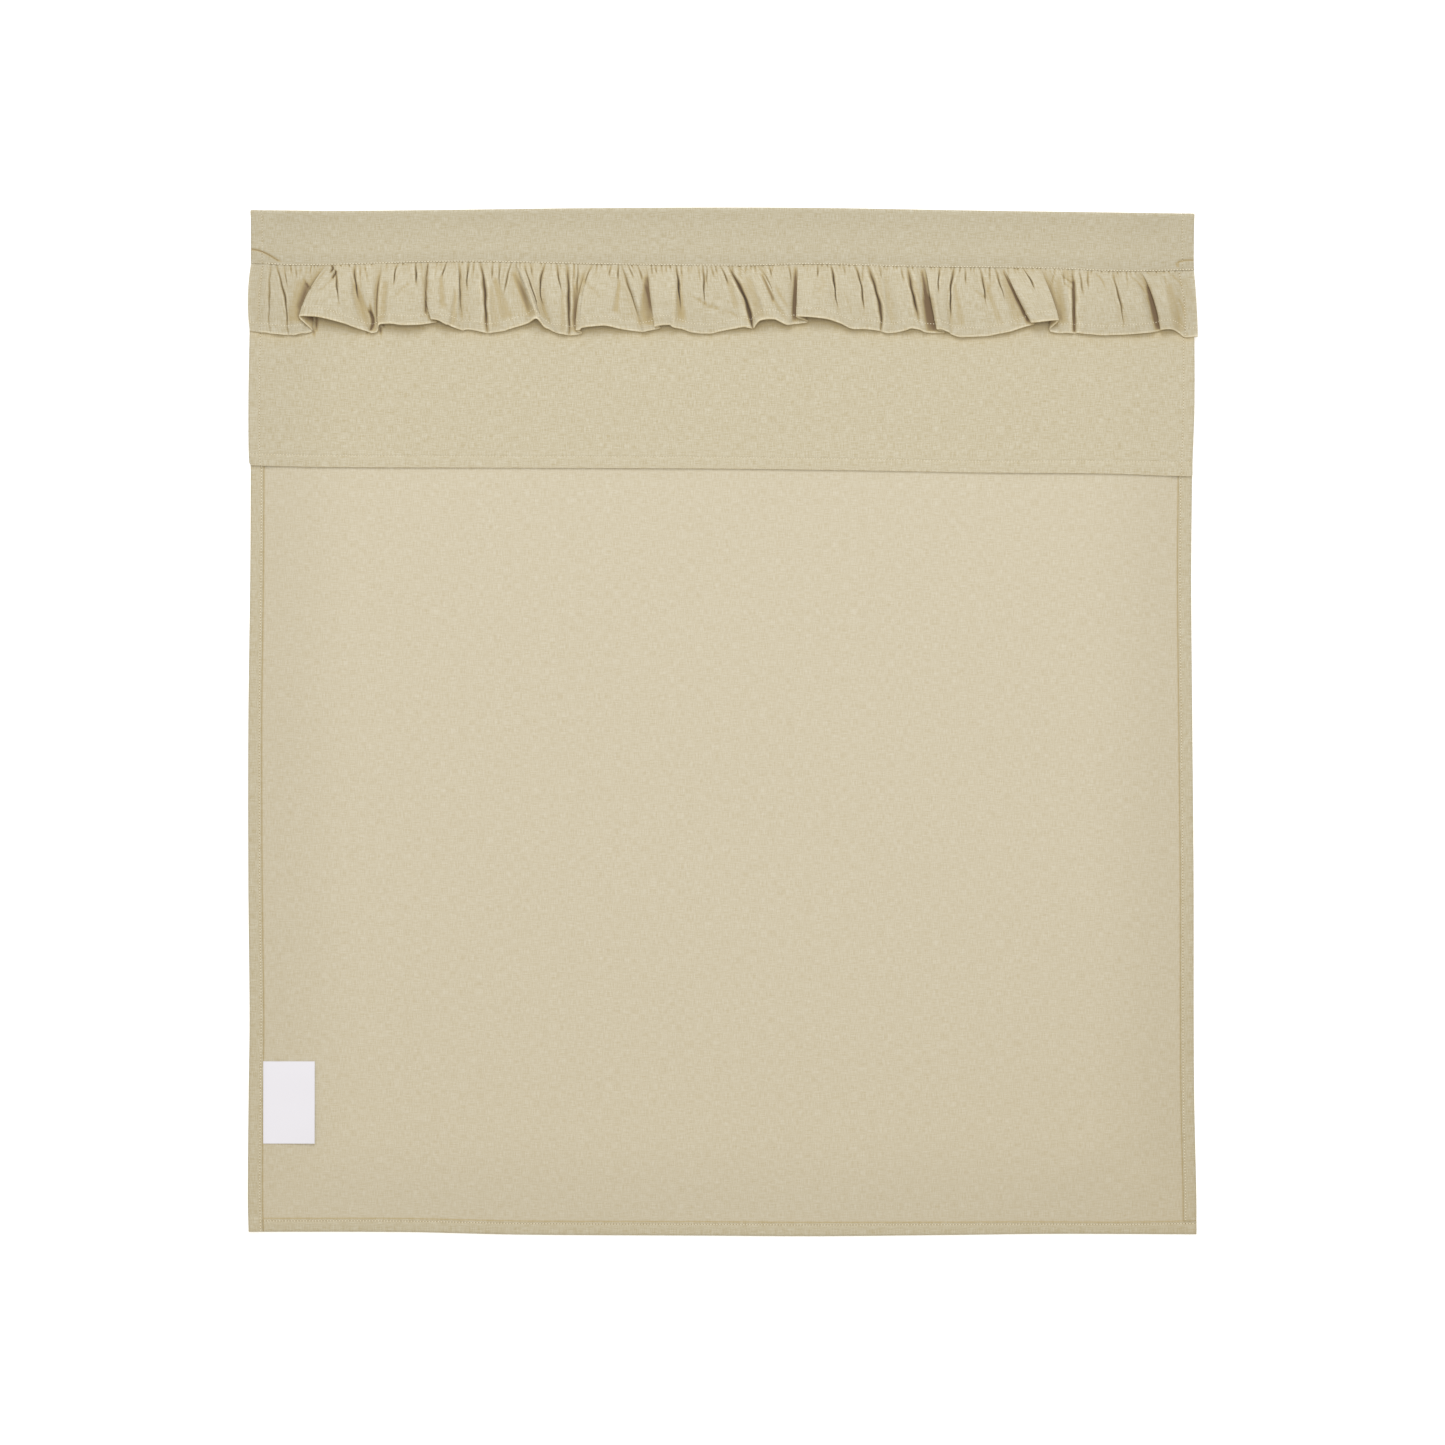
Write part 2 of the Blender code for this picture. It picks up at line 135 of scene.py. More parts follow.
# Distances of the points beside a crease of the ruffle, and the least step between two points
BESIDE_CREASE = [0.35, 0.8, 1.4]
LEAST_STEP = 0.28

# Care label
LABEL_WIDTH = 40.5
LABEL_LENGTH = 64.5
LABEL_TOP = -266.3
LABEL_FROM_EDGE = 11.5
LABEL_PLY = 0.3
LABEL_CURL = 1.1
LABEL_GAP = 0.35
LABEL_COLUMNS = 25
LABEL_ROWS = 33

# Stitches
STITCH_PITCH = 2.35
STITCH_LENGTH = 1.35
STITCH_WIDTH = 0.9
STITCH_HEIGHT = 0.45
HOLE_LENGTH = 0.6
HOLE_WIDTH = 0.9
HOLE_HEIGHT = 0.22
STITCH_LINE = 8.5
# Sections of a rounded bar: place along it and size; then corners of one: sideways and up
BEAD_SECTIONS = [(-0.5, 0.35), (-0.3, 1), (0.3, 1), (0.5, 0.35)]
BEAD_CORNERS = [(1, 0), (0, 1), (-1, 0), (0, -1)]

# Colours, as a display shows them
WRONG_SIDE = (198, 189, 168)
RIGHT_SIDE = (191, 182, 159)
# Painted shade: ochre where soft shade falls, and brown in the deepest folds and slots
SHADE_OCHRE = (165, 143, 90)
FOLD_SHADE_BROWN = (118, 98, 74)
THREAD = (224, 215, 192)
# Painted shade: dark beads between stitches stand in for the shade in the needle holes
HOLE_SHADE = (150, 128, 90)
SPECK_BROWN = (112, 92, 66)
LABEL_WHITE = (220, 219, 229)
FLOOR_WHITE = (247, 247, 247)

# Noise in the cotton, as features a metre across and up the cloth, and detail: slubs of the
# weft, slubs of the warp, grain, mottling, and rumples
COTTON_NOISE = [
    (140, 1800, 1), (1850, 150, 1), (1500, 1500, 1), (45, 30, 2), (130, 110, 3),
]
WEAVE_PITCH = 0.43
# Cells a metre that could hold a speck, and the radius of a speck as a share of a cell
SPECK_CELLS = 42.0
SPECK_RADIUS = 0.016

# Light and camera, in metres. Lamps: name, x, y, z, size, power
LIGHTS = [
    ("key", -0.15, 2.3, 2.3, 1.3, 44), ("overhead", 0.1, 0.3, 3.6, 1.8, 60),
]
LIGHT_COLOUR = (0.92, 0.97, 1.04)
SKY_COLOUR = (1.0, 0.9, 0.7, 1.0)
SKY_STRENGTH = 0.57
CAMERA_PLACE = (0.0, -0.0004, 3.0)
CAMERA_LENS = 95.2

# Long edges and lines that run across the sheet: x, y
BOTTOM_EDGE = [
    (-372, -400), (-250, -400.2), (-160, -402.2), (0, -403.1), (70, -403.5), (180, -402.5),
    (260, -401.6), (372, -402),
]
TOP_FOLD = [
    (-370, 401.7), (-290, 401.1), (-90, 403.3), (60, 403.5), (200, 401.3), (370, 398.9),
]
SEAM_LINE = [
    (-370, 359.6), (-331, 357.8), (-208, 360.6), (-80, 358.4), (14, 357.5), (73, 358.7), (143, 356.9),
    (257, 355.4), (312, 353.1), (370, 354),
]
TURN_BACK_EDGE = [
    (-371, 201.2), (-311, 199.9), (-178, 199.4), (0, 198.6), (124, 197), (202, 195.6), (300, 194.8),
    (355, 192.9), (369, 192.7),
]

# Side edges: y, left x, right x
BODY_SIDES = [
    (-402, -371.9, 371.9), (-375, -372.5, 371.9), (-297, -371.9, 370.2), (-234, -371.1, 369.8),
    (-124, -372.1, 369.7), (-2, -372.1, 368.7), (115, -370.6, 367.8), (198, -370.2, 368.5),
    (300, -370, 369.2), (400, -370.1, 370.1),
]
BAND_SIDES = [
    (350, -369.2, 369.3), (393, -369.4, 369.4), (400, -370.1, 370.1),
]
TURN_BACK_SIDES = [
    (193, -370.6, 368.6), (204, -371.4, 368.6), (216, -371.7, 368.9), (253, -371.7, 370.1),
    (300, -370.9, 370.1), (367, -369.3, 369.3),
]

# Hem widths along the edges: y, left hem, right hem
SIDE_HEMS = [
    (-402, 11.4, 10.2), (-100, 10.6, 10.3), (100, 10.2, 10.6), (400, 10.2, 10.8),
]
# Hem widths along the edges: x, bottom hem of the body, bottom hem of the turn-back panel
BOTTOM_HEMS = [
    (-372, 10.2, 11.1), (-180, 10.4, 11), (60, 10.6, 10.9), (200, 9.6, 10.9), (310, 8.9, 12.3),
    (372, 10.4, 13.8),
]

# Section of a hem: distance from the edge, share of the hem's rise on the side it is turned to
TURNED_HEM = [
    (0, 0.30), (0.3, 0.78), (0.9, 1), (2.2, 1.06), (4.5, 1.08), (6.4, 1), (7.6, 0.84), (8.1, 0.62),
    (8.5, 0.52), (8.9, 0.66), (9.4, 0.92), (9.8, 0.9), (10.1, 0.72), (10.3, 0.2), (10.5, -0.04),
    (11.6, 0), (25, 0),
]
# The same on its other face: distance from the edge, height added to the smooth cloth
HIDDEN_HEM = [
    (0, -0.4), (0.3, -0.08), (0.9, 0.06), (4.5, 0.08), (7.6, -0.08), (8.1, -0.26), (8.5, -0.36),
    (8.9, -0.26), (9.6, -0.06), (11.6, -0.12), (17, 0), (25, 0),
]
# Distances from an edge at which points lie: those of the section, then on to plain cloth
HEM_STEPS = [row[0] for row in TURNED_HEM[:-1]] + [12.8, 14.4, 16.2, 18.2, 20.4, 22.6, 25.0]

# Painted shade beside the inner fold of a hem and along its stitches: distance from the edge, share
HEM_SHADE = [
    (7.6, 0), (8.5, 0.16), (9.4, 0), (9.8, 0.05), (10.1, 0.3), (10.3, 0.55), (10.5, 0.45), (11.6, 0),
]

# The band between the top fold and the seam: share of the way down it, height of its upper
# face in the middle of the sheet, and height over the side hems
BAND_HEIGHTS = [
    (0, 4.4, 4.4), (0.25, 3.4, 4.5), (0.55, 3.6, 4.9), (0.79, 4.8, 6), (1, 4.9, 6.1),
]
# Section of the band's sewn edge: distance above the seam, height added
SEWN_EDGE = [
    (0, -0.78), (0.15, -0.68), (0.5, -0.6), (0.9, -0.54), (1.3, -0.48), (3, -0.3), (8, 0),
]
# Distances above the sewn edge at which the last rows of the band lie
SEWN_ROWS = [16.6, 15.4, 14.4, 13.5, 12.6, 11.8, 11.0, 10.2, 9.4, 8.6, 7.8, 7.0, 6.2, 5.4, 4.6, 3.8,
             3.0, 2.4, 2.0, 1.6, 1.3, 0.9, 0.5, 0.15, 0.0]
SEAM_STITCH_LINE = 0.5
SEWN_EDGE_ABOVE_SEAM = 0.1

# Soft troughs and creases: x and y of three points, half width, height
BODY_CREASES = [
    (-323.8, -218.2, -276.7, -304.6, -206, -351.7, 14, -0.5),
    (-330, -205, -262, -322, -196, -340, 10, 0.35),
    (-296.3, -92.6, -280, -125, -261, -155.4, 9, -0.25),
    (280.6, -375.2, 318, -350, 359.1, -328.1, 9, -0.4),
    (241.4, -375.2, 280, -345, 312, -304.6, 12, 0.35),
    (-13.7, 111.5, -14.2, 90, -13.7, 64.4, 2.5, -0.12),
    (-343.4, -186.8, -338, -220, -331.7, -257.5, 5, 0.25),
    (-327, -170, -325, -190, -318, -230, 5, -0.2),
]
TURN_BACK_CREASES = [
    (-300.3, 292, -301, 250, -299, 213.5, 5, -0.22),
    (-275.5, 296, -276.5, 255, -276.7, 203, 2.2, 0.16),
    (-182.5, 284.2, -155, 268, -127.6, 256.7, 8, -0.22), (5.9, 296, 50, 278, 100, 264.5, 9, -0.22),
    (-345, 290, -330, 250, -335, 215, 16, -0.3),
]
# Creases that start or end beyond this x run to the edge of the cloth and don't fade out
SIDE_EDGE = 369.0
# Sharp tucks at the ends of the band, and its soft creases
BAND_TUCKS = [
    (-369.5, 370.5, -359.9, 368.2, -347.4, 361.1, 0.75, -0.7),
    (-369.5, 372, -359, 369.8, -347, 363, 0.8, 0.25),
    (356.8, 357, 358.6, 361, 370, 361.9, 0.75, -0.6), (355, 357.6, 357.6, 362.3, 370, 363.4, 0.9, 0.2),
]
BAND_CREASES = [
    (304.2, 372, 330, 380, 362, 394, 5, -0.3), (322, 366, 340, 372, 358, 380, 4, 0.25),
    (-352, 392, -335, 384, -305, 378, 5, -0.22),
]
# Waves of the cloth: length across, length along, phase and height
BODY_WAVES = [
    (310, 270, 0.4, 0.16), (-170, 240, 2.1, 0.10), (95, -160, 4, 0.05), (61, 83, 1.3, 0.025),
]
TURN_BACK_WAVES = [
    (140, 400, 1, 0.14), (-66, 170, 3.2, 0.08), (31, -95, 0.6, 0.035), (17, 61, 2.6, 0.012),
]

# Soft wrinkles of the ruffle's cloth, in the columns of the creases above
RUFFLE_WRINKLES = [
    (-307.6, 358.2, -305.4, 355.2, -308.8, 351.6, 0.9, -1.5),
    (-302.6, 354.4, -304, 350.6, -306, 346.5, 1, -1.5),
    (-305.4, 357.6, -303.6, 354.6, -306, 350.4, 0.7, 0.7),
    (-279.5, 325.5, -273.9, 314.8, -278.5, 304.5, 1.2, -2.2),
    (-309, 356, -318, 345, -324, 336, 0.8, -0.5), (-306, 356, -313, 344, -320, 333, 0.8, 0.45),
    (-303.5, 351, -311, 341, -320.5, 336, 0.8, -0.45), (-329.5, 350, -325, 342, -317, 335, 0.7, -0.5),
    (-326.5, 348, -321.5, 340, -315, 332, 0.7, 0.4), (-241.5, 345, -250, 340, -258, 330, 0.9, -0.45),
    (-195, 338, -188, 336, -180, 336.5, 0.8, 0.35), (-112, 350, -103, 340, -94, 330, 1.5, -0.35),
    (-62, 345, -57.5, 333, -55, 318, 1.2, -0.3), (-29, 338, -12, 327, 0, 323.5, 1, -0.5),
    (-27, 337.5, -11, 329, 2, 325.5, 0.9, 0.35), (0, 322.5, 8, 320, 14, 314, 1, -0.4),
    (41, 343, 46, 333, 53, 322, 1.6, -0.45), (76, 352, 79, 343, 71, 334, 2.4, -0.35),
    (93, 340, 99, 328, 101, 316, 1.2, -0.3), (196, 340, 204, 334, 212, 331.5, 1, -0.45),
    (216, 351, 209, 340, 203.5, 330, 1.3, -0.35), (265, 351, 270, 347, 276, 343, 0.7, -0.6),
    (266, 345, 271, 341.5, 276, 337.5, 0.7, -0.5), (291, 353, 297.5, 346, 300, 338, 0.8, -0.5),
    (312, 344, 320, 340, 330, 338.5, 0.8, 0.45), (318, 350, 326, 344, 331, 336, 0.8, -0.45),
    (345.5, 350, 347, 345.5, 346, 342, 0.7, -0.6), (351, 351, 357, 346, 362, 340.5, 1, -0.35),
    (354, 334, 360, 327, 362, 318, 1.2, -0.3),
]

# Every fold line of the ruffle, from left to right along the strip: its kind, its x at the
# seam, halfway down and at the hem, how far the hem hangs below the seam, how high the cloth
# stands off the turn-back panel halfway down and at the hem, the share of that height that a
# crease there cuts away, and how far down the crease runs. Only creases and gaps have the last
# two. The strip runs backwards under itself between a bend and the edge after it, or between a
# ridge and the back after it.
RUFFLE_FOLDS = [
    ("end", -369.5, -372, -370.5, 53, 0.5, 0.4),
    ("hem", -360, -363, -362.5, 53.5, 0.3, 0.2),
    ("crest", -356.5, -358.5, -358, 53.5, 1.3, 0.7),
    ("crease", -353.5, -355.5, -354.5, 54, 1.4, 0.4, 0.9, 1),
    ("crest", -351.5, -350.5, -348, 54.5, 2.8, 1.5),
    ("crease", -349.5, -343, -340.5, 55, 2.2, 0.8, 1, 1),
    ("crease", -343.5, -340, -338, 54.5, 2.4, 1, 0.8, 0.3),
    ("crest", -338.5, -337, -335.5, 54.5, 3, 1.4),
    ("crease", -335, -333, -332, 53.5, 3, 1.4, 0.7, 0.2),
    ("crease", -331, -330, -329, 53, 2.6, 1.2, 0.6, 0.15),
    ("low", -322.5, -325.5, -326.5, 53, 1.2, 0.7),
    ("bend", -312.5, -318.5, -322, 51, 1, 0.8),
    ("edge", -310.5, -323.5, -331.5, 41, 5.4, 5.6),
    ("crest", -308.5, -318.5, -324, 40.5, 7.6, 7.6),
    ("crest", -306.5, -311.5, -314.5, 41.5, 8.2, 8),
    ("crease", -304, -301, -296.5, 46, 7, 6, 0.4, 0.65),
    ("crest", -298, -295.5, -291.5, 48, 7.2, 5.2),
    ("crest", -292.5, -291, -286, 50, 6, 3.6),
    ("crease", -288, -286, -278, 52.5, 3, 1.4, 1, 0.5),
    ("crest", -276.5, -276.5, -275, 54, 4.4, 2),
    ("bend", -268, -271, -270.5, 53, 2, 1.2),
    ("edge", -265.5, -269, -269, 48, 4.6, 4.4),
    ("crest", -260, -262, -261.5, 47.5, 6.4, 6.2),
    ("crease", -254.5, -258.5, -257, 48, 6.2, 6, 0.7, 0.35),
    ("crest", -248.5, -251.5, -251.5, 49, 6.6, 6.2),
    ("crease", -240, -240, -239, 49, 6, 5.6, 0.8, 0.35),
    ("crest", -235, -235, -233.5, 48.5, 5.6, 4.4),
    ("bend", -231, -229, -223.5, 46.5, 1.6, 1.8),
    ("edge", -229.5, -232.5, -228, 45, 5.6, 5.5),
    ("crest", -224.5, -227, -222.5, 46, 7.6, 6.8),
    ("crease", -216.5, -220.5, -217, 49, 7.2, 6.2, 0.7, 0.25),
    ("crest", -213, -214.5, -214.5, 49.5, 7.2, 5.8),
    ("ridge", -209, -208, -212.5, 50.5, 6.6, 4.8),
    ("crease", -206.5, -205.5, -204, 53.5, 3.4, 1.6, 0.5, 0.8),
    ("crest", -202.5, -202.5, -201.5, 53, 3.6, 1.7),
    ("crease", -199, -200, -198, 53, 3.4, 1.6, 1, 0.4),
    ("crest", -194.5, -193.5, -192, 54, 4, 1.9),
    ("gap", -189.5, -186, -185, 55.5, 3, 1.2, 1, 1),
    ("crest", -186.5, -183, -181.5, 55.5, 3.8, 1.4),
    ("crease", -180, -180.5, -179.5, 55, 3.4, 1.3, 0.8, 0.25),
    ("crease", -174.5, -174.5, -173, 54, 2.8, 1.4, 0.85, 0.35),
    ("crest", -170.5, -172.5, -170.5, 53.5, 2.8, 1.6),
    ("crease", -166, -170.5, -168, 52.5, 2.6, 1.9, 1, 0.45),
    ("valley", -164, -162, -158, 49.5, 2.2, 2.6),
    ("valley", -163, -156, -152, 47.5, 3, 4.2),
    ("crest", -161.5, -152, -145.5, 44.5, 8, 9),
    ("crease", -155.5, -148, -139.5, 50.5, 5.4, 5, 0.5, 0.85),
    ("crease", -151, -145.5, -136, 52, 4.4, 2.6, 0.7, 0.2),
    ("crest", -145.5, -144, -134, 53, 4, 2.2),
    ("crease", -139.5, -142, -131.5, 54, 3, 1.8, 1, 0.6),
    ("crest", -134.5, -136, -128.5, 55, 4.6, 2.2),
    ("crease", -130, -126, -124.5, 55.5, 4.2, 2, 0.8, 0.4),
    ("lip", -126, -122.5, -122, 56, 3.6, 1.6),
    ("gap", -122, -120.5, -120.5, 56, 2.4, 1, 1, 1),
    ("lip", -120, -118.5, -119, 56, 3.2, 1),
    ("strip", -117, -116, -115, 55.5, 2.4, 0.8),
    ("crease", -113.5, -113.5, -112.5, 55, 2.8, 0.9, 0.8, 0.4),
    ("bend", -108.5, -111, -110.5, 54.5, 2.6, 1.2),
    ("edge", -104.5, -112.5, -114.5, 52, 4.8, 3.8),
    ("crease", -102, -110, -111.5, 51.5, 6, 4.6, 0.5, 0.3),
    ("crest", -100, -108.5, -110, 50, 7, 5.2),
    ("crest", -93.5, -97.5, -96, 48.3, 6.6, 6),
    ("crease", -87.5, -90.5, -90, 48.3, 6.2, 5.6, 0.6, 0.2),
    ("crease", -81.5, -81, -79, 50.5, 4.6, 3.4, 0.8, 0.25),
    ("crease", -79.5, -70.5, -64, 52.5, 3.2, 1.4, 0.5, 0.85),
    ("crest", -76.5, -67.5, -61.5, 52.5, 5.4, 2.4),
    ("crease", -73.5, -65, -59.5, 52, 5, 2.6, 0.7, 0.2),
    ("crease", -66.5, -60, -55.5, 51, 4, 2.2, 0.7, 0.25),
    ("bend", -61, -54, -49, 49.5, 3.2, 2.4),
    ("edge", -59, -56.5, -53, 48.5, 5.2, 4.4),
    ("crest", -55.5, -53.5, -49, 47.5, 6.8, 5.4),
    ("crease", -52, -49, -44.5, 47, 7, 5.4, 0.6, 0.15),
    ("crease", -44.5, -43, -41, 47, 7, 5, 0.5, 0.12),
    ("ridge", -40.5, -37.5, -39, 48.5, 6.6, 4.4),
    ("crease", -36.5, -33.5, -31, 50, 3.6, 2.2, 0.9, 0.65),
    ("crest", -32, -28, -25.5, 52, 4, 1.8),
    ("crease", -26.5, -25, -21.5, 52.5, 3.8, 1.7, 0.6, 0.12),
    ("crest", -21, -19, -17, 53, 3.6, 1.4),
    ("crease", -15.5, -14, -13, 53, 3, 1.2, 0.9, 0.55),
    ("crease", -12.5, -11, -9, 53, 3.4, 1.2, 0.8, 0.3),
    ("crease", -9, -4.5, -0.5, 51, 3.2, 1.9, 0.7, 0.18),
    ("crease", -1, 7, 10.5, 49, 4, 3.2, 0.8, 0.3),
    ("crest", 1.5, 12, 17, 48, 4.6, 3.6),
    ("gap", 4.5, 17, 24, 49, 3.6, 2.6, 1, 1),
    ("lip", 6.5, 20, 26, 46.5, 5.6, 5.2),
    ("crest", 13.5, 25.5, 29, 43.5, 7.2, 7.2),
    ("crest", 23, 30.5, 33.5, 42.5, 7.8, 7.8),
    ("crease", 28.5, 39, 41, 42.5, 6.2, 6.6, 0.3, 0.5),
    ("crease", 36.5, 42, 45, 44.5, 6, 5.8, 0.7, 0.2),
    ("crest", 44.5, 49, 50.5, 47, 5.4, 4.8),
    ("crease", 52, 55.5, 56, 46.5, 3, 2.4, 0.8, 0.3),
    ("low", 54.5, 58.5, 61, 46, 1.8, 2),
    ("bend", 57.5, 61.5, 66.5, 45, 2.6, 2.6),
    ("edge", 60, 58.5, 58, 41.5, 5.4, 5.4),
    ("crest", 65.5, 64, 65.5, 41.5, 7.8, 7.6),
    ("crease", 75, 75, 76.5, 42.5, 7.6, 7.4, 0.5, 0.25),
    ("crest", 80.5, 81, 83.5, 43.5, 7.4, 6.4),
    ("crease", 85.5, 88.5, 93, 46.5, 5.2, 4.2, 0.8, 0.7),
    ("crease", 95.5, 97, 101, 50, 5.4, 3.4, 0.6, 0.15),
    ("crease", 104, 110, 111, 50, 3.6, 2.2, 0.9, 0.7),
    ("crest", 108.5, 115, 118, 50.5, 4.4, 2.4),
    ("gap", 113.5, 122, 124.5, 51.5, 3, 1.2, 1, 1),
    ("crest", 116.5, 125, 127.5, 52.5, 4, 1.4),
    ("crease", 123, 127, 130.5, 52.5, 3.6, 1.3, 0.7, 0.2),
    ("valley", 127, 130, 135.5, 52, 2.4, 1.1),
    ("crest", 134, 138, 144, 50, 4.4, 3.2),
    ("crease", 140, 143.5, 148, 48.5, 4, 3.4, 0.6, 0.25),
    ("gap", 145, 150, 155, 49.5, 3, 2.2, 1, 0.85),
    ("crest", 149, 153, 158, 51, 4.4, 2.2),
    ("low", 154, 159, 163.5, 51.5, 2, 1),
    ("bend", 158, 168.5, 174.5, 51.5, 0.8, 0.8),
    ("edge", 159.5, 163, 168, 49, 6, 4.6),
    ("crest", 165, 166, 171.5, 49, 7.4, 4.8),
    ("crease", 171, 169, 174.5, 50, 6, 4, 0.7, 0.4),
    ("crest", 176, 174, 177.5, 51, 5, 2.8),
    ("crease", 181.5, 178.5, 179.5, 52.5, 3.4, 1.6, 1, 0.75),
    ("crest", 185.5, 184, 185.5, 54.5, 4.2, 1.9),
    ("crease", 190.5, 191, 191, 54.5, 3.8, 1.7, 0.7, 0.25),
    ("crest", 196, 198, 200, 54, 3.6, 1.5),
    ("crease", 201.5, 206.5, 208.5, 53.5, 3, 1.4, 0.9, 0.55),
    ("crest", 207.5, 212.5, 215.5, 52, 3.8, 2.2),
    ("crease", 213.5, 221, 225.5, 50, 3.4, 2.4, 0.8, 0.5),
    ("low", 216.5, 227.5, 234.5, 47, 2.2, 2.6),
    ("bend", 219, 234.5, 244.5, 44, 1.8, 3),
    ("edge", 221.5, 230.5, 242, 43.5, 5.6, 6.6),
    ("crest", 226.5, 235, 247.5, 43, 8, 8.2),
    ("crease", 235.5, 246.5, 254, 42, 7.6, 7.8, 0.6, 0.4),
    ("crest", 240.5, 252.5, 258.5, 41.5, 7.8, 7.6),
    ("ridge", 248.5, 257, 263, 41.5, 6.2, 6.2),
    ("back", 250.5, 254.5, 256.5, 48.5, 2, 1.8),
    ("low", 254.5, 262.5, 264, 50.5, 1.6, 0.8),
    ("crease", 266.5, 269, 269.5, 50, 2.6, 1.2, 0.7, 0.25),
    ("lip", 271, 273, 273.5, 50, 3, 1.4),
    ("gap", 274.5, 275.5, 276, 50, 2.4, 1, 1, 1),
    ("lip", 278, 278, 278.5, 49.5, 3.2, 1.2),
    ("crease", 280, 283, 283.5, 50, 3.4, 1.3, 0.6, 0.4),
    ("crease", 286.5, 287.5, 288.5, 50, 3.6, 1.4, 0.7, 0.3),
    ("crest", 292.5, 295, 295.5, 50.5, 3.4, 1.3),
    ("crest", 299.5, 304, 306, 50, 3.4, 1.3),
    ("crease", 306, 311.5, 316, 49.5, 2.8, 1.3, 0.7, 0.9),
    ("crest", 312, 317.5, 321.5, 49, 4.2, 2),
    ("crest", 320.5, 327.5, 333, 48, 4.6, 2.6),
    ("low", 324.5, 335, 339.5, 47, 1.6, 1.2),
    ("bend", 327.5, 340, 346, 45.5, 0.8, 0.9),
    ("edge", 329.5, 338, 343.5, 46, 4.8, 3.8),
    ("crest", 335.5, 342.5, 347.5, 45.5, 6.6, 4.4),
    ("crest", 342.5, 349.5, 353, 46, 6.8, 3.8),
    ("valley", 352, 357, 357.5, 48.5, 2, 1.1),
    ("hem", 357.5, 362, 362.5, 52, 0.4, 0.3),
    ("end", 369.5, 371.5, 372.5, 51.5, 0.5, 0.5),
]

# Faces of the ruffle that turn away from the light into a hollow: x and y at the top and at the
# bottom, half widths there, and how deep the shade is
SHADED_FACES = [
    (-331, 344, -335.5, 315.5, 4.5, 5.5, 0.42), (-327, 343, -333, 326, 3, 3, 0.65),
    (-287, 341.5, -276, 311.5, 2, 4, 0.45), (-276, 326.5, -273.5, 307, 1, 2.5, 0.7),
    (-264, 343, -266.5, 314, 2.5, 3, 0.42), (-231, 358, -232.5, 322, 0.7, 0.9, 0.75),
    (-220.5, 346, -218.5, 326, 1.7, 3, 0.32), (-209, 336, -211.5, 312, 1.4, 2.8, 0.42),
    (-181.5, 339, -178, 311, 2.5, 4, 0.3), (-178, 346, -169.5, 318, 2.2, 5.5, 0.42),
    (-163, 350, -149, 319, 2, 3.6, 0.5), (-115, 340, -116, 308, 2.4, 2.6, 0.45),
    (-107, 350, -112, 336, 2.5, 2, 0.3), (-125, 336, -125, 307.5, 1.5, 2.5, 0.3),
    (-81, 344, -83.5, 323, 1.4, 2.6, 0.36), (-59.5, 347, -60.5, 313, 2.4, 5.2, 0.62),
    (-34.5, 344, -33, 315, 1.2, 5, 0.36), (4.5, 347, 10.5, 326.5, 2.5, 2.5, 0.3),
    (15.5, 342.5, 22.5, 315, 3, 3.4, 0.45), (20, 347, 29.5, 318, 3, 4.5, 0.36),
    (31.5, 349, 39.5, 331, 1.2, 1.6, 0.6), (39.5, 331, 48, 318, 1.6, 2.2, 0.25),
    (57.3, 354, 56, 315.5, 1, 2.2, 0.6), (121.5, 350, 125, 326.5, 2.5, 2.5, 0.25),
    (149.5, 344, 156.5, 318.5, 2.5, 3, 0.35), (156.5, 352, 159, 337, 1.1, 1.6, 0.75),
    (158, 339.5, 160.5, 329, 1, 3.5, 0.85), (160.5, 331, 163.5, 307, 4.2, 4.4, 0.95),
    (182.5, 341, 187, 313, 1.2, 3.2, 0.34), (207, 343, 217, 313, 1.6, 2.8, 0.32),
    (220.7, 352, 239, 315, 0.8, 1.6, 0.7), (220, 344, 231, 314, 2.5, 3.5, 0.2),
    (263.5, 345.5, 268, 314, 2.5, 3, 0.32), (269.5, 353, 273, 344, 2, 2, 0.4),
    (275.2, 344, 275.7, 304.5, 1.2, 1.8, 0.95), (334, 340, 341.2, 307.5, 1.8, 2.9, 0.72),
    (349.5, 341, 357.5, 307.5, 3, 5, 0.4), (364, 347, 367, 331.5, 2.5, 2.5, 0.15),
]
# The same on the turn-back panel, in the deep slots that open beside the ruffle's folds
OPEN_SLOTS = [
    (-317.5, 318, -320, 305.5, 1.3, 1.3, 1), (-275, 318, -278, 306, 1.3, 1.3, 1),
    (-266, 311.5, -269, 305.5, 1.2, 1.2, 1),
]

# Kinds of fold lines that cut into the cloth, half widths of their sections, depth of a row of
# stitches, height of the cloth at the seam, and distance and half width of the small gathers
CREASES = ("crease", "gap", "hem")
CREASE_HALF_WIDTH = {"crease": 1.45, "gap": 2.1, "hem": 0.9}
STITCH_GROOVE = 0.25
SEAM_PUFF = 0.6
GATHER_PITCH = 3.4
GATHER_HALF_WIDTH = 1.1
# Scale of the wrinkles' height, and share by which a shaded face lies lower
WRINKLE_RISE = 1.5
SHADED_SINK = 0.35

# Plan of the ruffle in which its heights are blurred: left, right, bottom, top, and its cell
PLAN_BOX = (-378.0, 378.0, 280.0, 368.0)
PLAN_CELL = 1.4
# Rings in which a point is compared with the cloth around it: radius, depth that fills the
# ring's share, and share
SHELTER_RINGS = [
    (1.8, 1.3, 0.35), (4.5, 2.8, 0.40), (9, 4.5, 0.25),
]

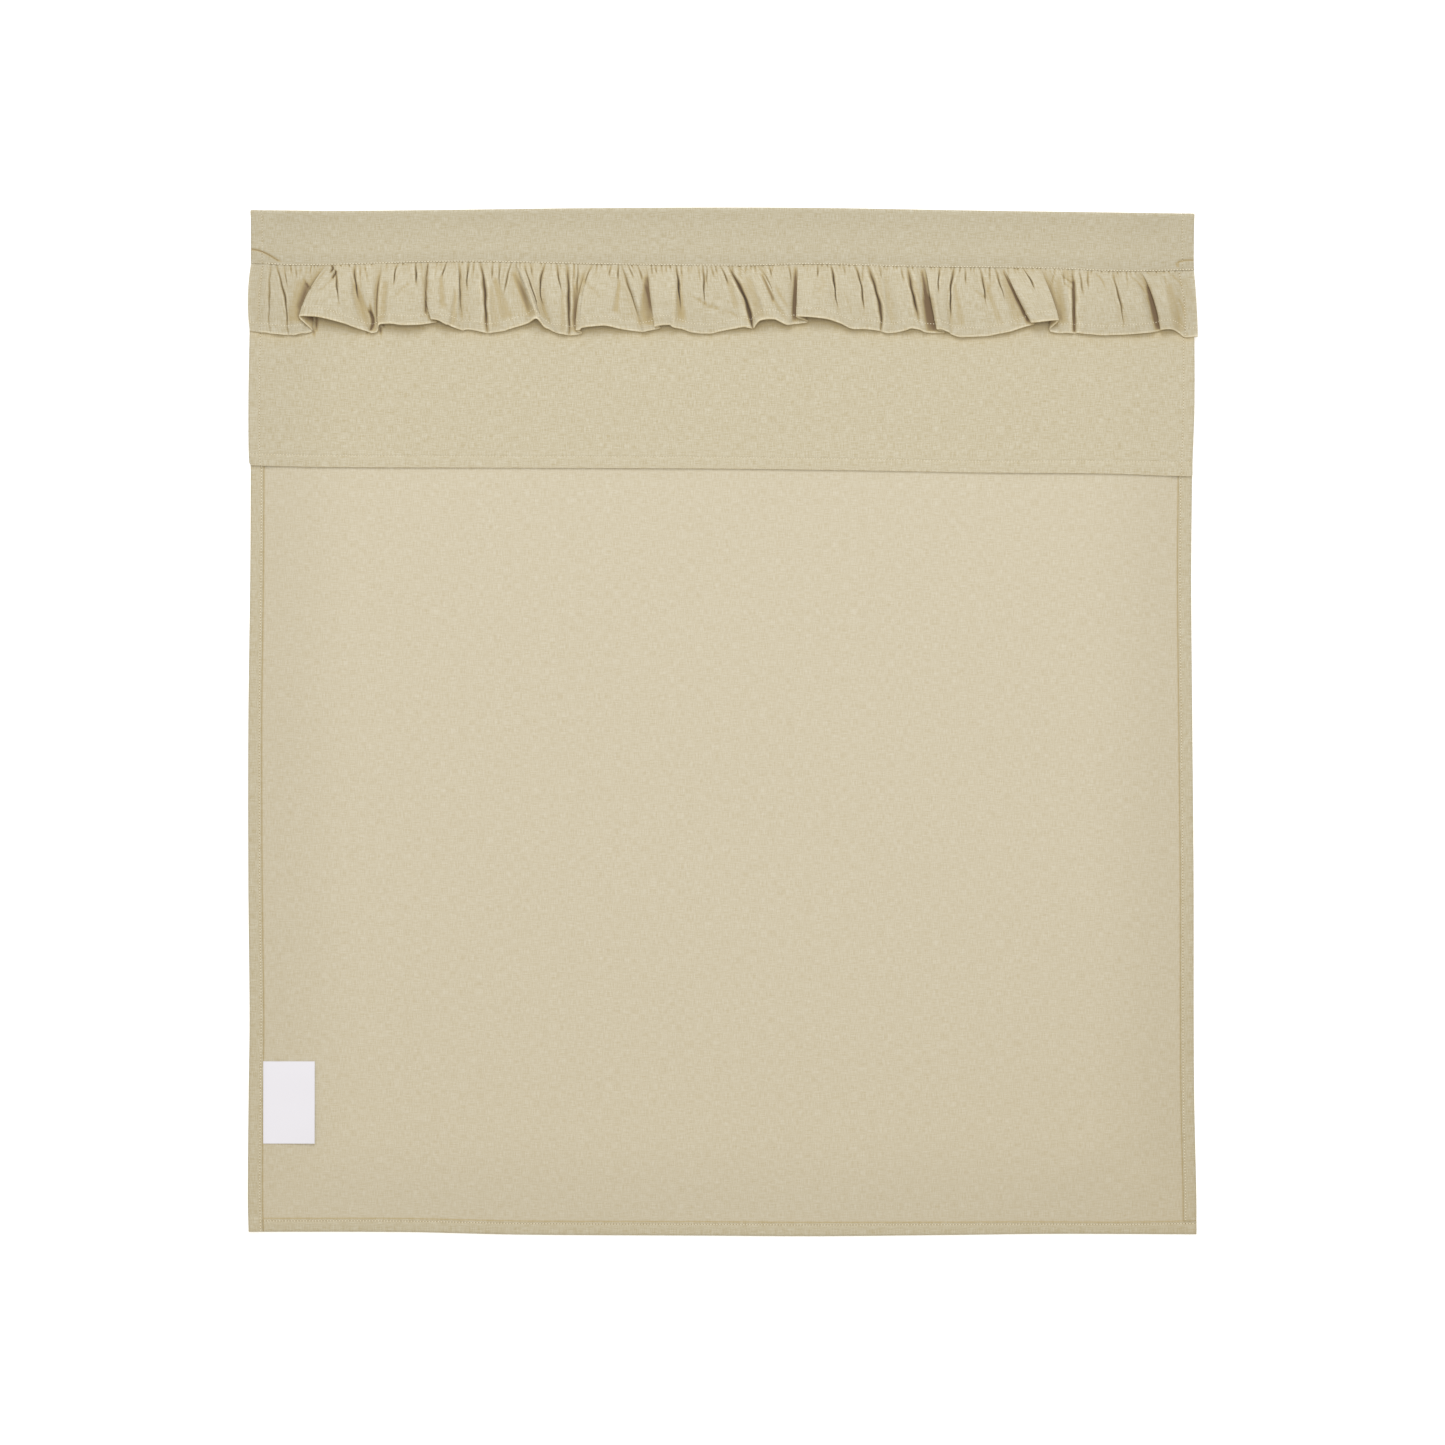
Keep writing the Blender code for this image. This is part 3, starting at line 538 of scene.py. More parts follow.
# Rows of the ruffle: share of the way from the seam to its hem, then distance from its hem
RUFFLE_ROWS = [0.0, 0.012, 0.026, 0.042, 0.06, 0.082, 0.108, 0.136, 0.168, 0.2, 0.235, 0.27, 0.31,
               0.35, 0.39, 0.43, 0.47, 0.515, 0.56, 0.605, 0.65, 0.695, 0.735, 0.77, 0.795]
RUFFLE_HEM_ROWS = [8.0, 7.5, 7.0, 6.5, 5.5, 4.2, 2.9, 1.9, 1.2, 0.5, 0.0]
RUFFLE_STITCH_LINE = 7.0
# Rows of the strip above the seam, under the band
HIDDEN_ROWS = [SEAM_ALLOWANCE, 2.5, 0.8]


# Curves through the tables

def linear(channel):
    """Turn a display value of 0 to 255 into the linear value that a shader takes."""
    share = channel / 255.0
    if share <= 0.04045:
        return share / 12.92
    return ((share + 0.055) / 1.055) ** 2.4


def mix(start, end, share):
    return start + (end - start) * share


def ease(share):
    share = np.clip(share, 0.0, 1.0)
    return share * share * (3.0 - 2.0 * share)


def smooth(knots, values, at):
    """Values at many places on a smooth curve through all the points."""
    knots = np.asarray(knots, float)
    values = np.asarray(values, float)
    count = len(knots)
    at = np.clip(at, knots[0], knots[-1])
    k = np.clip(np.searchsorted(knots, at) - 1, 0, count - 2)
    low = np.maximum(np.arange(count) - 1, 0)
    high = np.minimum(np.arange(count) + 1, count - 1)
    slopes = (values[high] - values[low]) / (knots[high] - knots[low])
    span = knots[k + 1] - knots[k]
    t = (at - knots[k]) / span
    start = slopes[k] * span
    end = slopes[k + 1] * span
    return ((2 * t - 3) * t * t + 1) * values[k] + (3 - 2 * t) * t * t * values[k + 1] \
        + ((t - 2) * t + 1) * t * start + (t - 1) * t * t * end


def read(table, at, column=1):
    """Read a table whose first column grows, at places between its rows."""
    return smooth([row[0] for row in table], [row[column] for row in table], at)


def straight(table, at):
    """Read a section with sharp steps by straight lines between its rows."""
    return np.interp(at, [row[0] for row in table], [row[1] for row in table])


def halfway_curve(start, middle, end, share):
    """Curve through its values at the start, halfway and at the end."""
    return start * (1 - share) * (1 - 2 * share) + middle * 4 * share * (1 - share) \
        + end * share * (2 * share - 1)


def past_hem(distance, reach):
    """1 on a hem, fading to 0 over that reach beside it, from the distance to the edge."""
    return 1.0 - ease((distance - HEM_WIDTH) / reach)


def near_edge(distance, reach):
    """1 on an edge, 0 from that reach on."""
    return np.clip(1.0 - distance / reach, 0.0, 1.0)


def stack(*parts):
    """Put numbers or grids of numbers together as the columns of one array."""
    return np.stack(np.broadcast_arrays(*parts), axis=-1)


def unit(vectors):
    return vectors / np.maximum(np.linalg.norm(vectors, axis=-1, keepdims=True), 1e-9)


def run_along(points):
    """Length of each line of points up to each of its points."""
    steps = np.linalg.norm(np.diff(points, axis=-2), axis=-1)
    return np.concatenate([np.zeros_like(steps[..., :1]), np.cumsum(steps, axis=-1)], axis=-1)


# Relief of flat cloth

def fit_hem(distance, hem_width):
    """Move a distance from the edge so that the hem there has its own width."""
    scaled = distance * hem_width / HEM_WIDTH
    beyond = mix(HEM_END * hem_width / HEM_WIDTH, HEM_EASE,
                 (distance - HEM_END) / (HEM_EASE - HEM_END))
    fitted = np.where(distance <= HEM_END, scaled, beyond)
    return np.where(distance >= HEM_EASE, distance, fitted)


def distance_to_curve(x, y, crease):
    """Distance from a curve through three points, and the share of the way along it."""
    best = np.full(np.shape(x), 1e9)
    along = np.zeros(np.shape(x))
    for k in range(CURVE_PIECES):
        start, end = k / CURVE_PIECES, (k + 1) / CURVE_PIECES
        x0, x1 = [halfway_curve(*crease[0:6:2], share) for share in (start, end)]
        y0, y1 = [halfway_curve(*crease[1:6:2], share) for share in (start, end)]
        length = (x1 - x0) ** 2 + (y1 - y0) ** 2
        t = np.clip(((x - x0) * (x1 - x0) + (y - y0) * (y1 - y0)) / length, 0.0, 1.0)
        distance = np.hypot(x - mix(x0, x1, t), y - mix(y0, y1, t))
        along = np.where(distance < best, mix(start, end, t), along)
        best = np.minimum(best, distance)
    return best, along


def crease_relief(x, y, creases):
    """Height of soft troughs and ridges, which fade out at both ends inside the edges."""
    height = np.zeros(np.shape(x))
    for crease in creases:
        half_width, rise = crease[6:]
        distance, along = distance_to_curve(x, y, crease)
        at_edge = abs(crease[0]) > SIDE_EDGE or abs(crease[4]) > SIDE_EDGE
        fade = 1.0 if at_edge else ease(along / 0.25) * ease((1.0 - along) / 0.25)
        height += rise * fade * np.exp(-(distance / half_width) ** 2)
    return height


def undulation(x, y, waves):
    """Gentle unevenness of the cloth from a table of waves."""
    height = np.zeros(np.shape(x))
    for wave_x, wave_y, phase, rise in waves:
        bend = 1.3 * np.sin(2 * math.pi * y / (wave_y * 2.3) + phase * 2.1)
        height += rise * np.sin(2 * math.pi * (x / wave_x + y / wave_y) + phase + bend)
    return height


def round_corner(x, y, side, end, toward, radius):
    """Pull a square lower corner of the cloth in to a small arc."""
    reach_x = np.maximum(radius - side, 0.0)
    reach_y = np.maximum(radius - end, 0.0)
    reach = np.maximum(np.hypot(reach_x, reach_y), 1e-6)
    square = np.maximum(np.maximum(reach_x, reach_y), 1e-6)
    pull = np.where((reach_x > 0) & (reach_y > 0), 1.0 - square / reach, 0.0)
    return x + toward * reach_x * pull, y + reach_y * pull


# Meshes

def placed(name, data):
    """A new object of the scene."""
    piece = bpy.data.objects.new(name, data)
    bpy.context.scene.collection.objects.link(piece)
    return piece


def new_mesh(name, points, faces, materials, numbers):
    """A smooth mesh from points in millimetres, with the number of each face's material."""
    mesh = bpy.data.meshes.new(name)
    mesh.from_pydata((points * MM).tolist(), [], faces.tolist())
    for material in materials:
        mesh.materials.append(material)
    mesh.polygons.foreach_set("material_index", numbers.astype(np.int32))
    mesh.shade_smooth()
    return mesh


def grid_normals(points):
    """Unit normals of a grid of points, on the side that its rows turned to its columns face."""
    return unit(np.cross(np.gradient(points, axis=0), np.gradient(points, axis=1)))


def closed_cloth(name, outer, inner, uvs, materials, numbers, tone, shelter, rim_shelter=0.0):
    """Join an outer and an inner grid of points into one closed thin cloth."""
    rows, columns = outer.shape[:2]
    count = rows * columns
    index = np.arange(count).reshape(rows, columns)
    quads = np.stack([index[:-1, :-1], index[1:, :-1], index[1:, 1:], index[:-1, 1:]], axis=-1)
    quads = quads.reshape(-1, 4)
    loop = np.concatenate([index[:-1, 0], index[-1, :-1], index[:0:-1, -1], index[0, :0:-1]])
    after = np.roll(loop, -1)
    rim = np.stack([after, loop, loop + count, after + count], axis=-1)
    faces = np.concatenate([quads, quads[:, ::-1] + count, rim])
    points = np.concatenate([outer.reshape(-1, 3), inner.reshape(-1, 3)])
    numbers = np.concatenate([np.zeros(len(quads), int), numbers[:-1, :-1].reshape(-1),
                              numbers.reshape(-1)[loop]])
    mesh = new_mesh(name, points, faces, materials, numbers)
    corner = np.zeros(len(mesh.loops), np.int32)
    mesh.loops.foreach_get("vertex_index", corner)
    both = np.concatenate([uvs.reshape(-1, 2), uvs.reshape(-1, 2)]) * MM
    layer = mesh.uv_layers.new(name="cloth")
    layer.data.foreach_set("uv", both[corner].astype(np.float32).reshape(-1))
    # The inner face's last row, the underside of a rolled edge, takes at least that painted shade
    below = np.array(shelter, float)
    below[-1] = np.maximum(below[-1], rim_shelter)
    for label, values, under in (("tone", tone, tone), ("shelter", shelter, below)):
        attribute = mesh.attributes.new(label, "FLOAT", "POINT")
        both = np.concatenate([values.reshape(-1), under.reshape(-1)])
        attribute.data.foreach_set("value", both.astype(np.float32))
    mesh.set_sharp_from_angle(angle=math.radians(SHARP_ANGLE))
    return placed(name, mesh)


# Flat panels

def row_places(sides, nominal, pitch):
    """Left and right x of a row across a panel, and its places as distances from the left."""
    left, right = [float(read(sides, nominal, side)) for side in (1, 2)]
    inner = round((NOMINAL_WIDTH - 2 * HEM_EASE) / pitch)
    width = right - left
    places = [mix(HEM_EASE, width - HEM_EASE, k / inner) for k in range(1, inner)]
    places = HEM_STEPS + places + [width - distance for distance in reversed(HEM_STEPS)]
    return left, right, np.array(places)


def row_y(kind, value, bottom, top, hem_width):
    """Y of a row of a panel, and its distance from the bottom edge in a hem of plain width."""
    if kind == "edge":
        end = np.full_like(bottom, value)
        return bottom + fit_hem(end, hem_width), end
    return mix(bottom + HEM_EASE, top, value), np.full_like(bottom, HEM_EASE)


# Main panel

def main_panel_rows():
    """Rows from the bottom edge round the top fold to the seam: kind and place."""
    inner = round((TOP - BOTTOM - HEM_EASE) / BODY_ROW_PITCH)
    rows = [("edge", distance) for distance in HEM_STEPS]
    rows += [("share", k / inner) for k in range(1, inner + 1)]
    rows += [("fold", k / FOLD_STEPS) for k in range(1, FOLD_STEPS)]
    rows += [("band", k / BAND_STEPS) for k in range(BAND_ROWS)]
    rows += [("sewn", distance) for distance in SEWN_ROWS]
    return rows


def body_row(kind, value, x, side, on_left):
    """The body: its right side on the floor, and its wrong side with the turned hems."""
    bottom = read(BOTTOM_EDGE, x)
    fold_centre = read(TOP_FOLD, x) - FOLD_RADIUS
    y, end = row_y(kind, value, bottom, fold_centre, read(BOTTOM_HEMS, x, 1))
    above = y - bottom
    edge = np.minimum(side, end)
    side_on_top = (side <= HEM_FACE) & on_left
    end_on_top = (end <= HEM_FACE) & ~on_left

    def upper(table):
        """Section of the hem that lies on top, also where two hems cross in a corner."""
        return np.maximum(straight(table, side) * ~end_on_top,
                          straight(table, end) * ~side_on_top)

    crossing = np.clip(straight(TURNED_HEM, side) * straight(TURNED_HEM, end), 0.0, 1.0)
    soft = undulation(x, y, BODY_WAVES) + crease_relief(x, y, BODY_CREASES)
    soft = soft * (1.0 - COVERED_FLATTER * ease((y - COVERED_FROM) / 15.0))
    inner = BODY_TOP + HEM_RISE * (upper(TURNED_HEM) + 0.4 * crossing)
    inner = inner + soft * ease((np.minimum(side, above) - 6.0) / 14.0)
    outer = FLOOR_GAP + 0.45 * near_edge(edge, ROUND_EDGE) ** 2 + 0.8 * np.maximum(soft, 0.0)
    # Painted shade towards the lower right corner, along the bottom, beside the side hems and on the
    # outer edge, and in lines along the hems' inner folds and stitches; the hems are a little lighter
    corner = np.clip(x / HALF_WIDTH, 0.0, 1.0) ** 2 * np.clip(-y / TOP, 0.0, 1.0) ** 2
    lower = 1.0 - ease((y + TOP) / 300.0)
    hem = edge <= HEM_FACE
    tone = 1.0 - SIDE_TONE * past_hem(np.minimum(side, above), TONE_STRIP) + HEM_TONE * hem \
        - CORNER_TONE * corner - EDGE_TONE * near_edge(edge, EDGE_REACH)
    shade = np.maximum(upper(HEM_SHADE), CORNER_SHADE * corner + LOWER_SHADE * lower
                       + SIDE_SHADE * past_hem(side, TONE_STRIP))
    return stack(x, y, outer), stack(x, y, inner), hem, tone, shade


def fold_row(value, x, side):
    """The round top fold."""
    turn = math.pi * value
    fold_centre = read(TOP_FOLD, x) - FOLD_RADIUS
    faces = []
    for radius in (FOLD_RADIUS + 0.5 * straight(HIDDEN_HEM, side), FOLD_RADIUS - PANEL_PLY):
        faces.append(stack(x, fold_centre + radius * math.sin(turn),
                           FOLD_RADIUS - radius * math.cos(turn)))
    return *faces, side <= HEM_FACE, np.full_like(x, BAND_TONE), np.zeros_like(x)


def band_row(kind, value, x, side):
    """The band, which shows its right side, down to its sewn edge."""
    fold_centre = read(TOP_FOLD, x) - FOLD_RADIUS
    seam = read(SEAM_LINE, x)
    if kind == "band":
        y = mix(fold_centre, seam + SEWN_EDGE_ABOVE_SEAM, value)
        share = np.full_like(x, value)
    else:
        y = seam + SEWN_EDGE_ABOVE_SEAM + value
        share = 1.0 - value / (fold_centre - seam)
    above = y - seam - SEWN_EDGE_ABOVE_SEAM
    base = mix(read(BAND_HEIGHTS, share, 1), read(BAND_HEIGHTS, share, 2),
               past_hem(side, HEM_SLOPE))
    relief = straight(HIDDEN_HEM, side) + straight(SEWN_EDGE, above)
    soft = undulation(x, y, TURN_BACK_WAVES) * ease(share / 0.2)
    top = base + relief + soft + crease_relief(x, y, BAND_TUCKS + BAND_CREASES)
    ply = np.where(side <= HEM_WIDTH, PANEL_HEM_PLY, PANEL_PLY)
    ply = np.minimum(ply, PANEL_PLY + 4.0 * share)
    ply = ply + 0.9 * straight(HIDDEN_HEM, side) * (side < ROUND_EDGE)
    # Painted shade beside the side hems and in the sharp tucks, and a painted highlight on the sewn
    # edge
    tone = BAND_TONE - 0.7 * SIDE_TONE * past_hem(side, TONE_STRIP) \
        + 0.7 * RIM_HIGHLIGHT * near_edge(above, 0.8)
    shade = np.clip(-1.3 * crease_relief(x, y, BAND_TUCKS), 0.0, 1.0)
    return stack(x, y, top), stack(x, y, base + 0.5 * soft - ply), side <= HEM_FACE, tone, shade


def main_panel_grids():
    """Outer and inner face, hems, tones and shades of the panel, and its cloth coordinates."""
    rows = []
    for kind, value in main_panel_rows():
        nominal = {"edge": BOTTOM + value,
                   "share": mix(BOTTOM + HEM_EASE, TOP, value),
                   "fold": TOP,
                   "band": mix(TOP, SEAM, value),
                   "sewn": SEAM + value}[kind]
        sides = BAND_SIDES if kind in ("band", "sewn") else BODY_SIDES
        left, right, places = row_places(sides, nominal, BODY_PITCH)
        hems = [float(read(SIDE_HEMS, nominal, column)) for column in (1, 2)]
        on_left = places < (right - left) / 2
        x = np.where(on_left, left + fit_hem(places, hems[0]),
                     right - fit_hem(places[::-1], hems[1]))
        side = np.minimum(places, places[::-1])
        if kind in ("edge", "share"):
            rows.append(body_row(kind, value, x, side, on_left))
        elif kind == "fold":
            rows.append(fold_row(value, x, side))
        else:
            rows.append(band_row(kind, value, x, side))
    outer, inner, hems, tones, shades = [np.array(values) for values in zip(*rows)]
    lengths = run_along(outer[:, outer.shape[1] // 2])
    return outer, inner, stack(outer[:, :, 0] + HALF_WIDTH, lengths[:, None]), hems, tones, shades


def main_panel_cloth(right_side, wrong_side):
    outer, inner, uvs, hems, tones, shades = main_panel_grids()
    cloth = closed_cloth("main_panel_cloth", outer, inner, uvs, [right_side, wrong_side],
                         np.where(hems, 0, 1), tones, shades)
    return cloth, outer, inner


# Turn-back panel

def turn_back_grid():
    """Upper face of the panel below the seam, from the seam down to its hemmed edge."""
    inner = round((SEAM - TURN_BACK_BOTTOM - HEM_EASE) / TURN_BACK_PITCH)
    rows = [("seam", SEAM_ALLOWANCE), ("seam", 3.0)]
    rows += [("share", 1.0 - k / inner) for k in range(inner)]
    rows += [("edge", distance) for distance in reversed(HEM_STEPS)]
    grid = []
    for kind, value in rows:
        nominal = {"edge": TURN_BACK_BOTTOM + value,
                   "share": mix(TURN_BACK_BOTTOM + HEM_EASE, SEAM, value),
                   "seam": SEAM + value}[kind]
        left, right, places = row_places(TURN_BACK_SIDES, nominal, TURN_BACK_PITCH)
        x = left + places
        side = np.minimum(places, places[::-1])
        seam = read(SEAM_LINE, x)
        y, end = row_y(kind, value, read(TURN_BACK_EDGE, x), seam, read(BOTTOM_HEMS, x, 2))
        if kind == "seam":
            y = seam + value
        edge = np.minimum(side, end)
        base = np.maximum(
            mix(TURN_BACK_TOP, TURN_BACK_TOP_AT_SIDES, past_hem(side, HEM_SLOPE)),
            mix(TURN_BACK_TOP, TURN_BACK_TOP_AT_HEM, past_hem(end, HEM_SLOPE)))
        soft = undulation(x, y, TURN_BACK_WAVES) + crease_relief(x, y, TURN_BACK_CREASES)
        soft = soft * ease((edge - 4.0) / 14.0)
        relief = np.minimum(straight(HIDDEN_HEM, side), straight(HIDDEN_HEM, end))
        ply = np.where(edge <= HEM_WIDTH, PANEL_HEM_PLY, PANEL_PLY)
        ply = ply + 0.75 * straight(HIDDEN_HEM, edge) * (edge < ROUND_EDGE)
        x, y = round_corner(x, y, places, end, 1.0, LEFT_CORNER)
        x, y = round_corner(x, y, places[::-1], end, -1.0, RIGHT_CORNER)
        # Painted shade beside the side hems and on the side edges, and a painted highlight on the
        # rolled bottom edge
        strips = [past_hem(distance, TONE_STRIP) for distance in (places, places[::-1])]
        tone = 1.0 - SIDE_TONE * (1.1 * strips[0] + 0.5 * strips[1]) \
            + RIM_HIGHLIGHT * near_edge(end, ROUND_EDGE) - EDGE_TONE * near_edge(side, EDGE_REACH)
        grid.append((stack(x, y, base + soft + relief), ply, stack(x + HALF_WIDTH, y), tone))
    return [np.array(values) for values in zip(*grid)]


def turn_back_cloth(right_side, fields):
    top, plies, uvs, tones = turn_back_grid()
    flat = np.zeros(top.shape[:2], int)
    level = top * (1.0, 1.0, 0.0) + (0.0, 0.0, TURN_BACK_TOP)
    # Painted shade under the ruffle's edge, lifted a little by painted light, and painted shade in the
    # open slots
    shade = OVERHANG_SHADE * np.maximum(shelter(level, fields), 0.0)
    tones = tones + OVERHANG_PAINTED_LIGHT * shade
    shade = np.maximum(shade, shaded_faces(top[..., 0], top[..., 1], OPEN_SLOTS))
    cloth = closed_cloth("turn_back_cloth", top, top - stack(0.0, 0.0, plies), uvs, [right_side],
                         flat, tones, shade)
    return cloth, top


# Ruffle

def hem_run(before, after):
    """Run of the cloth along the hem between two fold lines."""
    return math.hypot(after[3] - before[3], after[4] - before[4], after[6] - before[6])


def ruffle_places(knots):
    """Columns of the strip, with close ones beside each crease, and the column of every fold."""
    places = []
    columns = []
    for k, (before, after) in enumerate(zip(RUFFLE_FOLDS, RUFFLE_FOLDS[1:])):
        run = max(abs(after[1] - before[1]), math.hypot(after[2] - before[2], after[5] - before[5]),
                  hem_run(before, after))
        steps = max(round(run / RUFFLE_PITCH), 2)
        offsets = [run * step / steps for step in range(steps)]
        if before[0] in CREASES:
            offsets += BESIDE_CREASE
        if after[0] in CREASES:
            offsets += [run - distance for distance in BESIDE_CREASE]
        columns.append(len(places))
        last = -1.0
        for offset in sorted(offsets):
            if offset - last > LEAST_STEP and run - offset > LEAST_STEP or offset == 0.0:
                places.append(mix(knots[k], knots[k + 1], offset / run))
                last = offset
    columns.append(len(places))
    places.append(knots[-1])
    return np.array(places), columns


def small_gathers(rng):
    """Short creases at the seam where the fold lines leave room: x, rise, reach and slant."""
    gathers = []
    creased = [fold[1] for fold in RUFFLE_FOLDS if fold[0] in CREASES or fold[0] in ("bend", "edge")]
    for before, after in zip(creased, creased[1:]):
        room = after - before
        count = int(room / GATHER_PITCH) - 1
        for k in range(count):
            x = before + room * (k + 1 + rng.uniform(-0.35, 0.35)) / (count + 1)
            reach = 0.05 + 0.34 * rng.random() ** 3
            gathers.append((x, rng.uniform(0.4, 1.6), reach, 12.0 * rng.uniform(-1.0, 1.0)))
    return gathers


def shaded_faces(x, y, faces):
    """Soft shade of the faces in a table, 0 to 1."""
    shade = np.zeros(np.shape(x))
    for x0, y0, x1, y1, half_top, half_bottom, strength in faces:
        along = (y0 - y) / (y0 - y1)
        t = np.clip(along, 0.0, 1.0)
        past = np.maximum(np.abs(along - 0.5) - 0.5, 0.0) * (y0 - y1) / 2.5
        aside = (x - mix(x0, x1, t)) / mix(half_top, half_bottom, t)
        shade = np.maximum(shade, strength * np.exp(-aside ** 4 - past ** 2))
    return shade


def trench(distance, half_width):
    """Section of a sharp crease: 1 at its bottom, and slightly under 0 on its raised lips."""
    share = np.clip(1.0 - np.abs(distance) / half_width, 0.0, 1.0)
    return share ** 1.3 - 0.16 * np.exp(-((np.abs(distance) / half_width - 1.35) / 0.45) ** 2)


def height_field(top):
    """Highest point of the ruffle in each cell of a plan, blurred for each shelter ring."""
    rows = np.linspace(0, len(top) - 1, 4 * len(top))
    low = np.minimum(rows.astype(int), len(top) - 2)
    dense = mix(top[low], top[low + 1], (rows - low)[:, None, None])
    dense = np.concatenate([dense, 0.5 * (dense[:, 1:] + dense[:, :-1])], axis=1).reshape(-1, 3)
    left, right, bottom, top_edge = PLAN_BOX
    size = [int(span / PLAN_CELL) + 1 for span in (right - left, top_edge - bottom)]
    cells = [np.clip(((dense[:, axis] - start) / PLAN_CELL).round().astype(int), 0, size[axis] - 1)
             for axis, start in enumerate((left, bottom))]
    heights = np.full(size, TURN_BACK_TOP)
    np.maximum.at(heights, tuple(cells), dense[:, 2])
    fields = []
    for radius, depth, weight in SHELTER_RINGS:
        half = round(2.5 * radius / PLAN_CELL)
        kernel = np.exp(-0.5 * (np.arange(-half, half + 1) * PLAN_CELL / radius) ** 2)
        kernel /= kernel.sum()
        soft = heights
        for axis, pads in enumerate((((half, half), (0, 0)), ((0, 0), (half, half)))):
            padded = np.pad(soft, pads, mode="edge")
            soft = np.apply_along_axis(np.convolve, axis, padded, kernel, "valid")
        fields.append((soft, depth, weight))
    return fields


def shelter(points, fields):
    """How far points lie below the cloth around them: 1 deep in a fold, negative on a crest."""
    column = (points[..., 0] - PLAN_BOX[0]) / PLAN_CELL
    row = (points[..., 1] - PLAN_BOX[2]) / PLAN_CELL
    total = np.zeros(points.shape[:-1])
    for soft, depth, weight in fields:
        c = np.clip(column, 0, soft.shape[0] - 1.001)
        r = np.clip(row, 0, soft.shape[1] - 1.001)
        c0, r0 = c.astype(int), r.astype(int)
        low = mix(soft[c0, r0], soft[c0 + 1, r0], c - c0)
        high = mix(soft[c0, r0 + 1], soft[c0 + 1, r0 + 1], c - c0)
        total += weight * np.clip((mix(low, high, r - r0) - points[..., 2]) / depth, -1.0, 1.0)
    near = (row > 0) & (row < fields[0][0].shape[1] - 1)
    return np.where(near, total, 0.0)


def crease_sections(x, share, lift, lengths, columns):
    """Depth that each crease of the table and each small gather cuts into the ruffle."""
    for fold, column in zip(RUFFLE_FOLDS, columns):
        if fold[0] not in CREASES:
            continue
        down = share[:, column:column + 1]
        sway = 0.35 * np.sin(9.0 * down + 2.1 * column) + 0.2 * np.sin(23.0 * down + 1.3 * column)
        depth = STITCH_GROOVE
        half_width = CREASE_HALF_WIDTH[fold[0]]
        if fold[0] != "hem":
            reach = fold[8]
            fade = 1.0 if reach >= 1.0 else 1.0 - ease((down - 0.55 * reach) / (0.6 * reach))
            depth = fold[7] * lift[:, column:column + 1] * fade
        if fold[0] == "crease":
            half_width = mix(half_width, 0.85, ease(down / max(reach, 0.3)))
        half_width = half_width * (1.0 + 0.22 * np.sin(13.0 * down + 0.7 * column))
        yield depth * trench(lengths - lengths[:, column:column + 1] + sway, half_width)
    for place, rise, reach, slant in small_gathers(random.Random(5)):
        fade = 1.0 - ease((share - 0.3 * reach) / (0.9 * reach))
        yield rise * fade * trench(x - (place + slant * share), GATHER_HALF_WIDTH)


def fold_shades(share, lengths, columns):
    """Painted shade where the strip runs back under itself, and painted highlights on its outermost
    folds.
    """
    under = np.zeros_like(share)
    edge_highlight = np.zeros_like(share)
    for fold, after, start, end in zip(RUFFLE_FOLDS, RUFFLE_FOLDS[1:], columns, columns[1:]):
        if (fold[0], after[0]) in (("bend", "edge"), ("ridge", "back")):
            hidden = UNDER_FOLD * ease(share[:, start:end + 1] / 0.4)
            under[:, start:end + 1] = np.maximum(under[:, start:end + 1], hidden)
        if fold[0] in ("edge", "ridge"):
            strength = FOLD_EDGE_HIGHLIGHT if fold[0] == "edge" else 0.5 * FOLD_EDGE_HIGHLIGHT
            run = lengths - lengths[:, start:start + 1]
            edge_highlight += strength * np.exp(-(run / 0.8) ** 2) * ease((share - 0.1) / 0.3)
    return under, edge_highlight


def with_hidden(rows):
    """Add rows above the seam, under the band, that repeat the first row."""
    return np.concatenate([rows[:1]] * len(HIDDEN_ROWS) + [rows])


